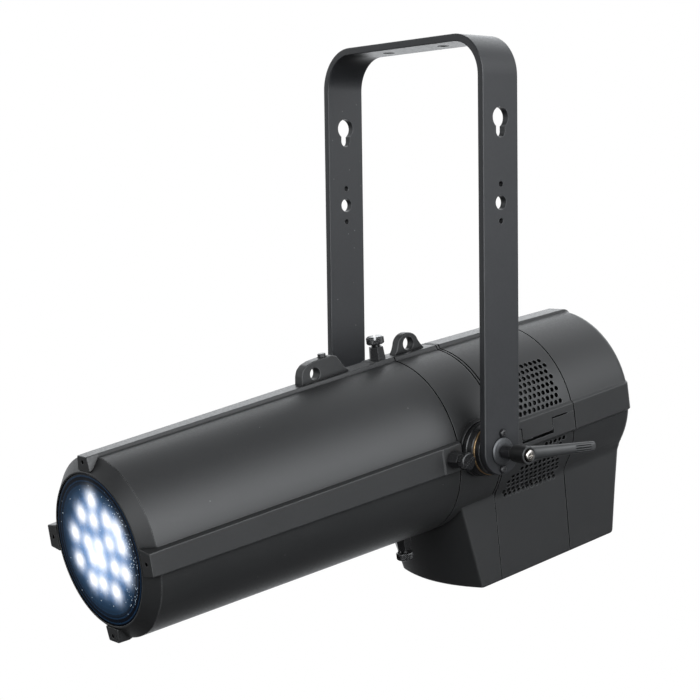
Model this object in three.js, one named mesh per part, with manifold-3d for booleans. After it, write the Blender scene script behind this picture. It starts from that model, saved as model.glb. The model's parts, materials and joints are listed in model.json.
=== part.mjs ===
// Ellipsoidal spotlight: an LED head of front casting, two-shell vent section and rear
// cap, a lens tube ahead of it, and a U-shaped hanging yoke with clamp levers.
// Millimetres. The origin is the middle of the yoke's top face. +X runs along the tilt
// axis (the "right" side), +Y to the rear, +Z up.
// Shapes are written about the tilt axis and the whole group is lowered by the yoke's
// height. The head group is turned nose-down.
import * as THREE from 'three';
import { mergeVertices } from 'three/addons/utils/BufferGeometryUtils.js';
import Module from 'manifold-3d';

const wasm = await Module();
wasm.setup();

// ------------------------------------------------------- shared dimensions
const DEG = Math.PI / 180;
const HEAD_TILT = 9.26;            // nose-down angle, degrees
const GAP = 0.3;                   // clearance between neighbouring parts
const SEAM_GAP = 0.4;              // shadow gap at the casting seams
const ROUND_SEGMENTS = 36;         // facets on the large round castings
const BEYOND = 140;                // half width that clears the whole head

const YOKE_HALF = 132;             // outer half width over the legs
const YOKE_T = 8;                  // flat bar thickness
const YOKE_W = 50;                 // flat bar width
const YOKE_TOP = 436.3;            // top face above the tilt axis
const FOOT_SCREW_Z = 19.2;         // plate screws above and below the pivot
const PIVOT_HOLE_R = 6.4;          // in yoke, friction plate and clamp washer
const HEAD_PIVOT_R = 6.3;          // in the head's bosses, hubs and washers

// stations along the head, y
const BEZEL_FRONT_Y = -417;
const BEZEL_Y = -400;              // bezel to tube joint
const JOINT_Y = -30.4;             // rear end of the lens tube
const LOCK_Y = -43.5;              // lock plungers
const BODY_Y = JOINT_Y + GAP;      // front of the castings
const SEAM1_Y = 35;                // front casting to vent section
const SEAM2_Y = 146.2;             // vent section to rear cap
const REAR_Y = 245;                // flat back of the rear cap

const JOINT_R = 98.2;              // housing and tube radius where they meet
const BODY_R = 97.2;               // housing radius along the vent section
const CAP_R = 95.8;
const LENS_R = 75;
const RIB_FRONT_R = 96.8;          // rib face distance from the axis
const RIB_REAR_R = 102.5;

// each entry: [colour, roughness, metalness]
const COAT = 0x232425, BLACK = 0x111112;
const LOOK = {
  yoke: [COAT, 0.5, 0.2],
  casting: [COAT, 0.55, 0.2],
  frictionPlate: [BLACK, 0.45, 0.4],
  washer: [BLACK, 0.35, 0.6],
  stud: [0xb8babc, 0.35, 0.9],
  lever: [BLACK, 0.4, 0.2],
  screw: [BLACK, 0.3, 0.7],
  display: [0x0a0d12, 0.1, 0],
  button: [0x1a1a1b, 0.5, 0],
  plug: [BLACK, 0.5, 0],
  socket: [0x16161a, 0.4, 0.1],
  copper: [0x96785a, 0.4, 0.8],
  sleeve: [0x2a2a2c, 0.4, 0.8],
  rubber: [0x0c0c0c, 0.8, 0],
  gate: [BLACK, 0.6, 0.5],
  condenser: [0x202022, 0.6, 0.3],
  clearLens: [0xdfe8f0, 0.05, 0],
  frontLens: [0x1d2c48, 0.05, 0],
  ledBoard: [0xe8e8e2, 0.5, 0],
  emitter: [0xf4f6ff, 0.2, 0],
  heatSink: [0x8a8c8f, 0.45, 0.9],
  fanFrame: [BLACK, 0.6, 0],
  fanRotor: [0x1c1c1e, 0.5, 0],
  circuit: [0x1f4a2c, 0.5, 0],
  powerSupply: [0x9a9c9f, 0.4, 0.8],
  retainer: [BLACK, 0.5, 0.4],
  lensHolder: [BLACK, 0.6, 0.3],
  gland: [BLACK, 0.35, 0.5],
  plunger: [BLACK, 0.3, 0.5],
};

// ----------------------------------------------------------------- helpers
// Weld a geometry into a manifold solid with its faces turned outwards.
function solidOf(geometry) {
  geometry.deleteAttribute('normal');
  geometry.deleteAttribute('uv');
  const welded = mergeVertices(geometry, 1e-4);
  const positions = welded.attributes.position.array;
  const indices = welded.index.array;
  const corner = (i) => new THREE.Vector3().fromArray(positions, 3 * i);
  const triangles = [];
  let volume = 0;
  for (let i = 0; i < indices.length; i += 3) {
    const [a, b, c] = indices.slice(i, i + 3);
    if (a === b || b === c || a === c) continue;
    triangles.push(a, b, c);
    volume += corner(a).dot(corner(b).cross(corner(c)));
  }
  if (volume < 0) triangles.reverse();
  return new wasm.Manifold(new wasm.Mesh({
    numProp: 3,
    vertProperties: new Float32Array(positions),
    triVerts: new Uint32Array(triangles),
  }));
}

const join = (...solids) => solids.reduce((sum, solid) => sum.add(solid));
const cut = (body, ...tools) => tools.reduce((rest, tool) => rest.subtract(tool), body);
const mirrorX = (solid) => solid.mirror([1, 0, 0]);

const box = (x0, x1, y0, y1, z0, z1) => {
  const geometry = new THREE.BoxGeometry(x1 - x0, y1 - y0, z1 - z0);
  geometry.translate((x0 + x1) / 2, (y0 + y1) / 2, (z0 + z1) / 2);
  return solidOf(geometry);
};

// Cylinders along one axis, placed by the two other coordinates.
const cylX = (radius, from, to, segments, y = 0, z = 0, endRadius = radius) => {
  const geometry = new THREE.CylinderGeometry(endRadius, radius, to - from, segments);
  geometry.rotateZ(-90 * DEG);
  geometry.translate((from + to) / 2, y, z);
  return solidOf(geometry);
};
const cylY = (radius, from, to, segments, x = 0, z = 0, endRadius = radius) => {
  const geometry = new THREE.CylinderGeometry(endRadius, radius, to - from, segments);
  geometry.translate(x, (from + to) / 2, z);
  return solidOf(geometry);
};
const cylZ = (radius, from, to, segments, x = 0, y = 0, endRadius = radius) => {
  const geometry = new THREE.CylinderGeometry(endRadius, radius, to - from, segments);
  geometry.rotateX(90 * DEG);
  geometry.translate(x, y, (from + to) / 2);
  return solidOf(geometry);
};
// one solid from a table of arguments for one of the cylinders above
const stack = (cylinder, rows) => join(...rows.map((row) => cylinder(...row)));

// disc along X with a hole through its middle
const drilledDisc = ({ radius, endRadius, from, to, segments, hole }) =>
  cut(cylX(radius, from, to, segments, 0, 0, endRadius), cylX(hole, from - 1, to + 1, 12));

// outline of [radius, y] points turned about Y
const lathe = (outline, segments = ROUND_SEGMENTS) => {
  const points = [...outline, outline[0]].map(([radius, y]) => new THREE.Vector2(radius, y));
  return solidOf(new THREE.LatheGeometry(points, segments));
};

const extruded = (outline, depth, matrix) => {
  const shape = new THREE.Shape(outline.map(([u, v]) => new THREE.Vector2(u, v)));
  const geometry = new THREE.ExtrudeGeometry(shape, { depth, bevelEnabled: false });
  geometry.applyMatrix4(new THREE.Matrix4().set(...matrix));
  return solidOf(geometry);
};
// outline of [y, z] points, extruded along X
const slabX = (outline, from, to) => extruded(outline, to - from,
  [0, 0, 1, from, 1, 0, 0, 0, 0, 1, 0, 0, 0, 0, 0, 1]);
// outline of [x, z] points, extruded along Y
const slabY = (outline, from, to) => extruded(outline, to - from,
  [1, 0, 0, 0, 0, 0, -1, to, 0, 1, 0, 0, 0, 0, 0, 1]);

// Loft through rings of equal point count, end caps fanned from their centres.
function loft(...rings) {
  const count = rings[0].length;
  const positions = rings.flat(2);
  const indices = [];
  const last = rings.length - 1;
  for (let k = 0; k < last; k++) {
    for (let i = 0; i < count; i++) {
      const a = k * count + i;
      const b = k * count + (i + 1) % count;
      indices.push(a, b, b + count, a, b + count, a + count);
    }
  }
  for (const k of [0, last]) {
    const centre = positions.length / 3;
    for (const axis of [0, 1, 2]) {
      positions.push(rings[k].reduce((sum, point) => sum + point[axis], 0) / count);
    }
    for (let i = 0; i < count; i++) {
      const a = k * count + i;
      const b = k * count + (i + 1) % count;
      indices.push(centre, ...(k === 0 ? [b, a] : [a, b]));
    }
  }
  const geometry = new THREE.BufferGeometry();
  geometry.setAttribute('position', new THREE.Float32BufferAttribute(positions, 3));
  geometry.setIndex(indices);
  return solidOf(geometry);
}
// four-point loft ring, symmetric about x = 0, with its base nearer the axis
const trapezoid = (y, baseHalf, baseZ, faceHalf, faceZ) =>
  [[-baseHalf, y, baseZ], [baseHalf, y, baseZ], [faceHalf, y, faceZ], [-faceHalf, y, faceZ]];

// turn a solid about Y, angle measured from the top towards +X
const turned = (solid, angle) => {
  const c = Math.cos(angle * DEG);
  const s = Math.sin(angle * DEG);
  return solid.transform([c, 0, -s, 0, 0, 1, 0, 0, s, 0, c, 0, 0, 0, 0, 1]);
};
const QUARTERS = { top: 0, right: 90, bottom: 180, left: 270 };
const fourAround = (solid) => Object.values(QUARTERS).map((angle) => turned(solid, angle));

const root = new THREE.Group();
root.position.z = -YOKE_TOP;
const head = new THREE.Group();
head.rotation.x = HEAD_TILT * DEG;
root.add(head);

function add(parent, name, solid, [color, roughness, metalness]) {
  const { vertProperties, triVerts } = solid.getMesh();
  const geometry = new THREE.BufferGeometry();
  geometry.setAttribute('position', new THREE.Float32BufferAttribute(vertProperties, 3));
  geometry.setIndex(new THREE.Uint32BufferAttribute(triVerts, 1));
  geometry.computeVertexNormals();
  const material = new THREE.MeshStandardMaterial({ color, roughness, metalness });
  const mesh = new THREE.Mesh(geometry, material);
  mesh.name = name;
  parent.add(mesh);
}
// add the +X part and its mirror image, with SIDE in the name filled in
function addPair(parent, name, solid, look) {
  add(parent, name.replace('SIDE', 'right'), solid, look);
  add(parent, name.replace('SIDE', 'left'), mirrorX(solid), look);
}

// -------------------------------------------------------------------- yoke
const YOKE_BEND = 45;              // outer bend radius
const FOOT_R = 25;                 // rounded foot about the pivot
const CLAMP_X = 45;                // bolt holes either side of the middle
const CLAMP_HOLE_R = 6.75;
const SCREW_HOLE_R = 2.5;
const SPARE = { z: 260.5, radius: 7.5, screwOffset: 19.1, screwRadius: 3 };
const KEYHOLE = { z: 348.3, entryRadius: 11, slotRadius: 6.35, drop: 14.2 };

function yokeBracket() {
  const arc = (x, radius, start, end) => {
    const points = [];
    for (let i = 0; i <= 6; i++) {
      const angle = (start + (end - start) * i / 6) * DEG;
      const z = YOKE_TOP - YOKE_BEND + radius * Math.sin(angle);
      points.push([x + radius * Math.cos(angle), z]);
    }
    return points;
  };
  const bendX = YOKE_HALF - YOKE_BEND;
  const inner = YOKE_HALF - YOKE_T;
  const bar = slabY([
    [YOKE_HALF, -FOOT_R],
    ...arc(bendX, YOKE_BEND, 0, 90),
    ...arc(-bendX, YOKE_BEND, 90, 180),
    [-YOKE_HALF, -FOOT_R], [-inner, -FOOT_R],
    ...arc(-bendX, YOKE_BEND - YOKE_T, 180, 90),
    ...arc(bendX, YOKE_BEND - YOKE_T, 90, 0),
    [inner, -FOOT_R],
  ], -YOKE_W / 2, YOKE_W / 2);
  const reach = YOKE_HALF + 2;
  const roundedFeet = join(
    cylX(FOOT_R, -reach, reach, 28),
    box(-reach, reach, -FOOT_R - 1, FOOT_R + 1, 0, YOKE_TOP + 2));
  // each tool runs through both legs
  const hole = (radius, segments, z) => cylX(radius, -reach, reach, segments, 0, z);
  const slotZ = KEYHOLE.z - KEYHOLE.drop;
  const slotR = KEYHOLE.slotRadius;
  return cut(bar.intersect(roundedFeet),
    hole(PIVOT_HOLE_R, 12, 0),
    hole(SCREW_HOLE_R, 8, -FOOT_SCREW_Z),
    hole(SCREW_HOLE_R, 8, FOOT_SCREW_Z),
    hole(SPARE.radius, 12, SPARE.z),
    hole(SPARE.screwRadius, 8, SPARE.z - SPARE.screwOffset),
    hole(SPARE.screwRadius, 8, SPARE.z + SPARE.screwOffset),
    hole(KEYHOLE.entryRadius, 16, KEYHOLE.z),
    hole(slotR, 12, slotZ),
    box(-reach, reach, -slotR, slotR, slotZ, KEYHOLE.z),
    ...[-CLAMP_X, CLAMP_X].map((x) =>
      cylZ(CLAMP_HOLE_R, YOKE_TOP - YOKE_T - 1, YOKE_TOP + 1, 12, x)));
}
add(root, 'yoke_bracket', yokeBracket(), LOOK.yoke);

// ------------------------------------------------- clamp parts on the legs
const LEG_OUTSIDE = YOKE_HALF + GAP;
const LEG_INSIDE = YOKE_HALF - YOKE_T - GAP;

// plate on the inner face of each leg, with blind screw holes
function frictionPlate() {
  const disc = drilledDisc(
    { radius: 24.5, from: 117.4, to: LEG_INSIDE, segments: 24, hole: PIVOT_HOLE_R });
  const screwHole = (z) => cylX(SCREW_HOLE_R, 119, 125, 8, 0, z);
  return cut(disc, screwHole(FOOT_SCREW_Z), screwHole(-FOOT_SCREW_Z));
}
addPair(root, 'friction_plate_SIDE', frictionPlate(), LOOK.frictionPlate);
addPair(root, 'clamp_washer_SIDE', drilledDisc(
  { radius: 13, from: LEG_OUTSIDE, to: 134.6, segments: 16, hole: PIVOT_HOLE_R }), LOOK.washer);

// radius, from x, to x, segments, y, z, end radius
const CLAMP_STUD = [
  [5.7, 97, 160, 12],                // stud
  [7.2, 135.2, 148, 12],             // collar
  [5, 171.8, 174, 12, 0, 0, 4.4],    // screw head
  [2.4, 159, 171.9, 8],              // screw shank
];
addPair(root, 'clamp_stud_SIDE', stack(cylX, CLAMP_STUD), LOOK.stud);

// centre y, x, z, half width in x, half width in z
const LEVER_STATIONS = [
  [2, 161, 0, 8.5, 8.6], [14, 163.8, 0.6, 6.2, 7.2], [30, 167, 1.3, 4.8, 5.0],
  [72, 176.3, 3.4, 4.6, 4.4], [88, 179.6, 4.1, 4.4, 4.2], [92, 180.4, 4.3, 2.6, 2.4],
];
// radius, from x, to x, segments
const LEVER_BORES = [[7.6, 149, 162.8, 12], [3, 162, 168, 8], [5.5, 167.4, 200, 12]];
function clampLever() {
  const k = 0.45;                  // half length of an octagon side
  const octagon = [[1, -k], [1, k], [k, 1], [-k, 1], [-1, k], [-1, -k], [-k, -1], [k, -1]];
  const arm = loft(...LEVER_STATIONS.map(([y, x, z, halfX, halfZ]) =>
    octagon.map(([u, v]) => [x + u * halfX, y, z + v * halfZ])));
  const hub = cylX(9.5, 149.5, 171.4, 16, 0, 0, 8.9);
  return cut(join(hub, arm), ...LEVER_BORES.map((row) => cylX(...row)));
}
addPair(root, 'clamp_lever_SIDE', clampLever(), LOOK.lever);

// pan-head screws that hold the friction plates to the legs
for (const [place, z] of [['lower', -FOOT_SCREW_Z], ['upper', FOOT_SCREW_Z]]) {
  const panHead = cylX(4.1, LEG_OUTSIDE, 134.9, 12, 0, z, 3.1);
  const shank = cylX(2.1, 120, 132.4, 8, 0, z);
  addPair(root, `plate_screw_SIDE_${place}`, join(panHead, shank), LOOK.screw);
}

// ------------------------------------------------- body shared by castings
const BOX_TOP_Z = -64.5;
const BOX_BOTTOM_Z = -166;
const BOX_DEPTH = BOX_TOP_Z - BOX_BOTTOM_Z;
const BOX_BACK_Y = 242.6;          // back of the box at its top edge
const BOX_FRONT_Y = -14.5;         // front corners of the box at its top edge
const BOX_HALF = 72;               // half width at its top edge
const BOX_LEAN = 20;               // how far front and back slope in, top to bottom
const BOX_BOW = 12.5;              // bulge of the curved prow
const WALL = 3.2;

const boxDrop = (z) => (BOX_TOP_Z - z) / BOX_DEPTH;    // 0 at the top edge, 1 at the bottom
const boxBackAt = (z) => BOX_BACK_Y - BOX_LEAN * boxDrop(z);

// plan outline of the lower box: curved prow, straight sides, notched rear corners
const boxRing = (z, inset = 0) => {
  const drop = boxDrop(z);
  const half = BOX_HALF - 5 * drop - inset;
  const front = BOX_FRONT_Y + BOX_LEAN * drop + inset;
  const back = boxBackAt(z) - inset;
  const corner = 7 * drop + 0.5;
  const notch = corner * 0.3;
  const ring = [];
  for (let i = 0; i <= 10; i++) {
    const x = -half + 2 * half * i / 10;
    ring.push([x, front - BOX_BOW * (1 - (x / half) * (x / half)), z]);
  }
  ring.push([half, back - corner, z], [half - notch, back - notch, z]);
  ring.push([half - corner, back, z], [-half + corner, back, z]);
  ring.push([-half + notch, back - notch, z], [-half, back - corner, z]);
  return ring;
};

// bottom cover screws, in pairs either side of the middle
const coverScrewHoles = [18, 112, 208].flatMap((y) => [-57, 57].map((x) =>
  cylZ(2.2, BOX_BOTTOM_Z - 2, BOX_BOTTOM_Z + 12, 6, x, y)));

// front y, rear y of the access opening in the box floor of each section
const FLOOR_OPENINGS = [[14, 27], [45, 136], [156, 200]];

const outerBody = join(
  lathe([[0, BODY_Y], [JOINT_R, BODY_Y], [BODY_R, SEAM1_Y], [BODY_R, SEAM2_Y], [CAP_R, 236],
    [94.6, 240.6], [91.8, 243.8], [87.5, REAR_Y], [0, REAR_Y]]),
  loft(boxRing(BOX_BOTTOM_Z), boxRing(BOX_BOTTOM_Z + 3), boxRing(BOX_TOP_Z)));
const innerBody = join(
  lathe([[0, JOINT_Y - 2], [92, JOINT_Y - 2], [92, SEAM1_Y], [93, SEAM1_Y], [93, 230],
    [85, 241], [0, 241]]),
  loft(boxRing(BOX_BOTTOM_Z + 7, WALL), boxRing(BOX_TOP_Z + 14, WALL)),
  // recess for the bottom cover
  loft(boxRing(BOX_BOTTOM_Z - 4, WALL), boxRing(BOX_BOTTOM_Z + 3.6, WALL)),
  ...FLOOR_OPENINGS.map(([front, rear]) =>
    box(-50, 50, front, rear, BOX_BOTTOM_Z - 1, BOX_BOTTOM_Z + 12)),
  ...coverScrewHoles);

// length of the outer body with raised features added
const casting = (from, to, ...raised) =>
  join(outerBody.intersect(box(-BEYOND, BEYOND, from, to, -170, BEYOND)), ...raised);

// rail along the top, from one face height to another
const topRail = (from, to, faceFrom, faceTo) =>
  loft(trapezoid(from, 18, 90, 13.5, faceFrom), trapezoid(to, 18, 90, 13.5, faceTo));

// flat bands on both flanks, from one face distance to another
const sideBands = (from, to, faceFrom, faceTo) => {
  const low = -17;
  const high = 13.5;
  const ring = (y, face) => [[90, y, low - 3], [90, y, high + 3], [face, y, high], [face, y, low]];
  const band = loft(ring(from, faceFrom), ring(to, faceTo));
  return join(band, mirrorX(band));
};

// front casting with its top eye, pivot bosses and the prow of the box
function frontHousing() {
  const rear = SEAM1_Y - SEAM_GAP;
  const eye = { y: -2, half: 22, baseZ: 97, topZ: 122, archHalf: 17, archRise: 17 * 0.72 };
  const arch = [[eye.y - eye.half, eye.baseZ]];
  for (let i = 0; i <= 10; i++) {
    const angle = Math.PI - Math.PI * i / 10;
    arch.push([eye.y + eye.archHalf * Math.cos(angle),
      eye.topZ - eye.archRise + eye.archRise * Math.sin(angle)]);
  }
  arch.push([eye.y + eye.half, eye.baseZ]);
  const bosses = cylX(30, -101, 101, 28);    // the middle goes with the inner body
  const body = casting(BODY_Y, rear, topRail(BODY_Y, rear, 102.4, 101.6), bosses,
    slabX(arch, -5, 5));
  return cut(body, innerBody, cylX(5.2, -8, 8, 12, eye.y, 110.5),
    cylX(HEAD_PIVOT_R, -103, 103, 12));
}
add(head, 'front_housing', frontHousing(), LOOK.casting);

// ------------------------------------------------------------ vent section
// angle from the top, half angle of a slot, first slot y, pitch
const VENT_ROWS = [[63, 12.5, 56, 11], [118, 13, 50, 11.5]];
const SLOTS_PER_ROW = 7;
const SLOT_W = 5.5;
const SLOT_R = 97;                 // radius at which the half angle is measured

function ventSection() {
  const rear = SEAM2_Y - SEAM_GAP;
  const slots = VENT_ROWS.flatMap(([angle, halfAngle, firstY, pitch]) => {
    const half = SLOT_R * Math.sin(halfAngle * DEG);
    return Array.from({ length: SLOTS_PER_ROW }, (_, i) => {
      const y = firstY + i * pitch;
      const slot = box(-half, half, y, y + SLOT_W, 84, 106);
      return [turned(slot, angle), turned(slot, -angle)];
    }).flat();
  });
  const body = casting(SEAM1_Y, rear, topRail(SEAM1_Y, rear, 101.6, 99.8),
    sideBands(SEAM1_Y, rear, 99.6, 99.2));
  return cut(body, innerBody, ...slots);
}
// half space on one side of the stepped parting line, out to the height endZ
const partingSlab = ({ lineZ, stepZ, stepFront, stepRear, endZ }) => {
  const front = SEAM1_Y - 2;
  const rear = SEAM2_Y - SEAM_GAP + 2;
  return slabX([[front, lineZ], [stepFront, lineZ], [stepFront, stepZ], [stepRear, stepZ],
    [stepRear, lineZ], [rear, lineZ], [rear, endZ], [front, endZ]], -BEYOND, BEYOND);
};
// the upper shell reaches down in a tab, with a wider gap below the tab
const ventBody = ventSection();
add(head, 'vent_shell_upper', ventBody.intersect(partingSlab(
  { lineZ: 5.5, stepZ: -8.5, stepFront: 62.6, stepRear: 109.6, endZ: 140 })), LOOK.casting);
add(head, 'vent_shell_lower', ventBody.intersect(partingSlab(
  { lineZ: 4.6, stepZ: -12, stepFront: 61.4, stepRear: 110.6, endZ: -172 })), LOOK.casting);

// ---------------------------------------------------------------- rear cap
const DISPLAY_Z = 23;
const BUTTON_X = [-27, -9, 9, 27];
const BUTTON_Z = -14;
const PLUG_X = 46;                 // vent plug beside the buttons
const SOCKET_Z = -112;
const POWER_FLANGE_R = 11.4;
const DATA_FLANGE_R = 10.2;
// name, x, flange radius
const SOCKETS = [
  ['power_in_socket', -36, POWER_FLANGE_R], ['data_in_socket', -12, DATA_FLANGE_R],
  ['data_out_socket', 12, DATA_FLANGE_R], ['power_out_socket', 36, POWER_FLANGE_R],
];

const displayBlock = (halfX, halfZ, from, to) =>
  box(-halfX, halfX, from, to, DISPLAY_Z - halfZ, DISPLAY_Z + halfZ);

// cylinder square to the slanted back of the box, its middle `out` from the surface
const socketCylinder = (radius, length, segments, x, out) => {
  const slope = Math.atan(BOX_LEAN / BOX_DEPTH);
  const geometry = new THREE.CylinderGeometry(radius, radius, length, segments);
  geometry.rotateX(-slope);
  geometry.translate(x, boxBackAt(SOCKET_Z) + Math.cos(slope) * out,
    SOCKET_Z - Math.sin(slope) * out);
  return solidOf(geometry);
};

function rearCap() {
  const body = casting(SEAM2_Y, REAR_Y + 1, topRail(SEAM2_Y, 240, 99.8, 97.6),
    sideBands(SEAM2_Y, 238, 99.2, 97.4));
  return cut(body, innerBody, displayBlock(24.4, 13.4, 238, 250),
    ...BUTTON_X.map((x) => cylY(5.4, 238, 250, 10, x, BUTTON_Z)),
    cylY(4.4, 238, 250, 8, PLUG_X, BUTTON_Z),
    ...SOCKETS.map(([, x]) => socketCylinder(9.4, 20, 12, x, 0)));
}
add(head, 'rear_cap', rearCap(), LOOK.casting);
add(head, 'display_window', join(displayBlock(24, 13, 241.6, 245.4),
  displayBlock(27, 16, 238.2, 240.7), displayBlock(20, 11, 240.6, 241.7)), LOOK.display);
BUTTON_X.forEach((x, i) => {
  const cap = cylY(5, 240, 246.6, 10, x, BUTTON_Z, 4.5);
  const flange = cylY(6.6, 238.6, 240.6, 10, x, BUTTON_Z);
  add(head, `menu_button_${i + 1}`, join(cap, flange), LOOK.button);
});
add(head, 'pressure_vent_plug', join(cylY(7, 245.3, 248.4, 12, PLUG_X, BUTTON_Z),
  cylY(4, 236, 245.4, 8, PLUG_X, BUTTON_Z)), LOOK.plug);
for (const [name, x, flangeRadius] of SOCKETS) {
  const flange = socketCylinder(flangeRadius, 3, 14, x, 1.8);
  const barrel = socketCylinder(8.9, 22, 12, x, -8.4);
  add(head, name, join(flange, barrel), LOOK.socket);
}

// flat cover under the box
const coverPlate = loft(boxRing(BOX_BOTTOM_Z + 0.2, 3.7), boxRing(BOX_BOTTOM_Z + 3.4, 3.7));
add(head, 'bottom_cover', cut(coverPlate, ...coverScrewHoles), LOOK.casting);

// pivot hubs and friction washers between head and yoke
addPair(head, 'pivot_hub_SIDE', drilledDisc({ radius: 29, endRadius: 27.4,
  from: 101.4, to: 114.6, segments: 24, hole: HEAD_PIVOT_R }), LOOK.frictionPlate);
addPair(head, 'friction_washer_SIDE', drilledDisc(
  { radius: 26.3, from: 115, to: 117, segments: 24, hole: HEAD_PIVOT_R }), LOOK.copper);

// ------------------------------------------------- rings, optics and lenses
// name, inner radius, outer radius, front y, rear y, segments, look
const PLAIN_RINGS = [
  ['focus_sleeve', 88.6, 91.7, -112, -12, ROUND_SEGMENTS, LOOK.sleeve],
  ['housing_seal', 88.8, 91.6, -8, -4.6, 18, LOOK.rubber],
  ['gate_plate', 36, 91.4, -3.6, -1.2, 18, LOOK.gate],
  ['led_board', 8, 70, 40.4, 42.6, 18, LOOK.ledBoard],
  ['lens_gasket', 71, 75.2, -407.9, -404.4, 18, LOOK.rubber],
  ['lens_retainer', 70, 81.6, -403.7, -400.6, 18, LOOK.retainer],
];
for (const [name, inner, outer, front, rear, segments, look] of PLAIN_RINGS) {
  const section = [[inner, front], [outer, front], [outer, rear], [inner, rear]];
  add(head, name, lathe(section, segments), look);
}

// name, segments, look, outline of [radius, y]
const TURNED_PARTS = [
  ['condenser_housing', 18, LOOK.condenser,
    [[60, 4], [66, 4], [66, 30], [84, 30], [84, 33.6], [60, 33.6]]],
  ['condenser_lens', 18, LOOK.clearLens,
    [[0, 6], [30, 7.5], [52, 11], [59.6, 14], [59.6, 18], [0, 18]]],
  ['front_lens', 36, LOOK.frontLens, [[0, -415.6], [40, -415.2], [70, -413.2],
    [LENS_R, -413.0], [LENS_R, -408.2], [0, -408.2]]],
  ['second_lens_holder', 18, LOOK.lensHolder,
    [[62, -304], [87.1, -304], [87.1, -290], [58, -290], [58, -294], [62, -294]]],
  ['second_lens', 18, LOOK.clearLens,
    [[0, -309], [40, -306.4], [61.6, -300.6], [61.6, -294.4], [0, -294.4]]],
];
for (const [name, segments, look, outline] of TURNED_PARTS) {
  add(head, name, lathe(outline, segments), look);
}

// -------------------------------------------------------------- LED engine
// square emitters on a hexagonal grid, on a round base
function ledEmitters() {
  const pitch = 22;
  const half = 4;
  const parts = [cylY(62, 39.2, 40.1, 18)];
  for (let i = -2; i <= 2; i++) {
    for (let j = -2; j <= 2; j++) {
      if (Math.abs(i + j) > 2) continue;
      const x = pitch * (i + j / 2);
      const z = pitch * j * 0.866;
      parts.push(box(x - half, x + half, 35.4, 39.6, z - half, z + half));
    }
  }
  return join(...parts);
}
add(head, 'led_emitters', ledEmitters(), LOOK.emitter);

// round base with upright fins trimmed to a circle
function heatSink() {
  const parts = [cylY(82, 43, 50, 18)];
  for (let x = -72; x <= 72; x += 12) {
    const half = Math.sqrt(84 * 84 - x * x) - 2;
    parts.push(box(x - 1.3, x + 1.3, 49, 103, -half, half));
  }
  return join(...parts);
}
add(head, 'heat_sink', heatSink(), LOOK.heatSink);

// square frame with a round opening, a cross and a motor mount at the rear
function fanFrame() {
  const [front, rear] = [129.5, 132.6];
  return join(
    cut(box(-58, 58, 108, 133, -58, 58), cylY(55, 104, 140, 24)),
    box(-57, 57, front, rear, -4, 4),
    box(-4, 4, front, rear, -57, 57),
    cylY(20, front, rear, 12));
}
add(head, 'fan_frame', fanFrame(), LOOK.fanFrame);

function fanRotor() {
  const blades = 7;
  const parts = [cylY(18, 110, 128.8, 14)];
  for (let i = 0; i < blades; i++) {
    const blade = new THREE.BoxGeometry(2, 20, 36);
    blade.rotateZ(42 * DEG);
    blade.translate(0, 119.4, 34.6);
    blade.rotateY(i * 360 / blades * DEG);
    parts.push(solidOf(blade));
  }
  return join(...parts);
}
add(head, 'fan_rotor', fanRotor(), LOOK.fanRotor);

add(head, 'control_board', cut(box(-44, 44, 212, 213.8, -40, 48),
  ...[38, -38].map((x) => cylY(2, 210, 216, 6, x, 42))), LOOK.circuit);
// block on a base plate in the lower box
add(head, 'power_supply', join(box(-50, 50, 24, 206, -150, -116),
  box(-56, 56, 20, 210, -152, -150)), LOOK.powerSupply);

// --------------------------------------------------------------- lens tube
const TUBE_FRONT_R = 91.6;         // outer radius at the bezel
const TUBE_BORE_R = 87.5;          // bore ahead of the sleeve
const SLEEVE_BORE_R = 92.3;        // wider bore over the sleeve
const LOCK_HOLE_R = 5.1;
const EYE_SCREW_Y = -118;
// outline of the eye on the top rib: y, z
const TUBE_EYE = [
  [-153, 94], [-152, 108], [-149, 114], [-143, 118], [-134, 120.2],
  [-118, 121], [-108, 119], [-101, 113], [-97, 104], [-94, 95],
];

// the ribs widen and rise from bezel to joint
const ribRing = (y) => {
  const k = (y - BEZEL_Y) / (JOINT_Y - BEZEL_Y);
  const face = RIB_FRONT_R + (RIB_REAR_R - RIB_FRONT_R) * k;
  return trapezoid(y, 13.5 + 4.5 * k, 89.5 + 4.5 * k, 10.5 + 3.5 * k, face);
};

function lensBarrel() {
  const front = BEZEL_Y + GAP;
  const rear = JOINT_Y - GAP;
  const tube = lathe([[TUBE_BORE_R, front], [TUBE_FRONT_R, front], [JOINT_R, rear],
    [SLEEVE_BORE_R, rear], [SLEEVE_BORE_R, -170], [TUBE_BORE_R, -178]]);
  const rib = loft(ribRing(front), ribRing(rear));
  const lockPad = loft(trapezoid(-60, 12, 95, 12, 102.6), trapezoid(rear, 12, 95, 12, 103.1));
  const body = join(tube, ...fourAround(rib), ...fourAround(lockPad), slabX(TUBE_EYE, -6, 6));
  return cut(body, cylX(6.4, -10, 10, 14, -137, 106.5), cylZ(2.3, 100, 124, 8, 0, EYE_SCREW_Y),
    ...fourAround(cylZ(LOCK_HOLE_R, 80, 108, 10, 0, LOCK_Y)));
}
add(head, 'lens_barrel', lensBarrel(), LOOK.casting);
add(head, 'eye_screw', join(cylZ(4.4, 121.4, 125.2, 6, 0, EYE_SCREW_Y),
  cylZ(1.9, 104, 121.6, 6, 0, EYE_SCREW_Y)), LOOK.washer);

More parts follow.
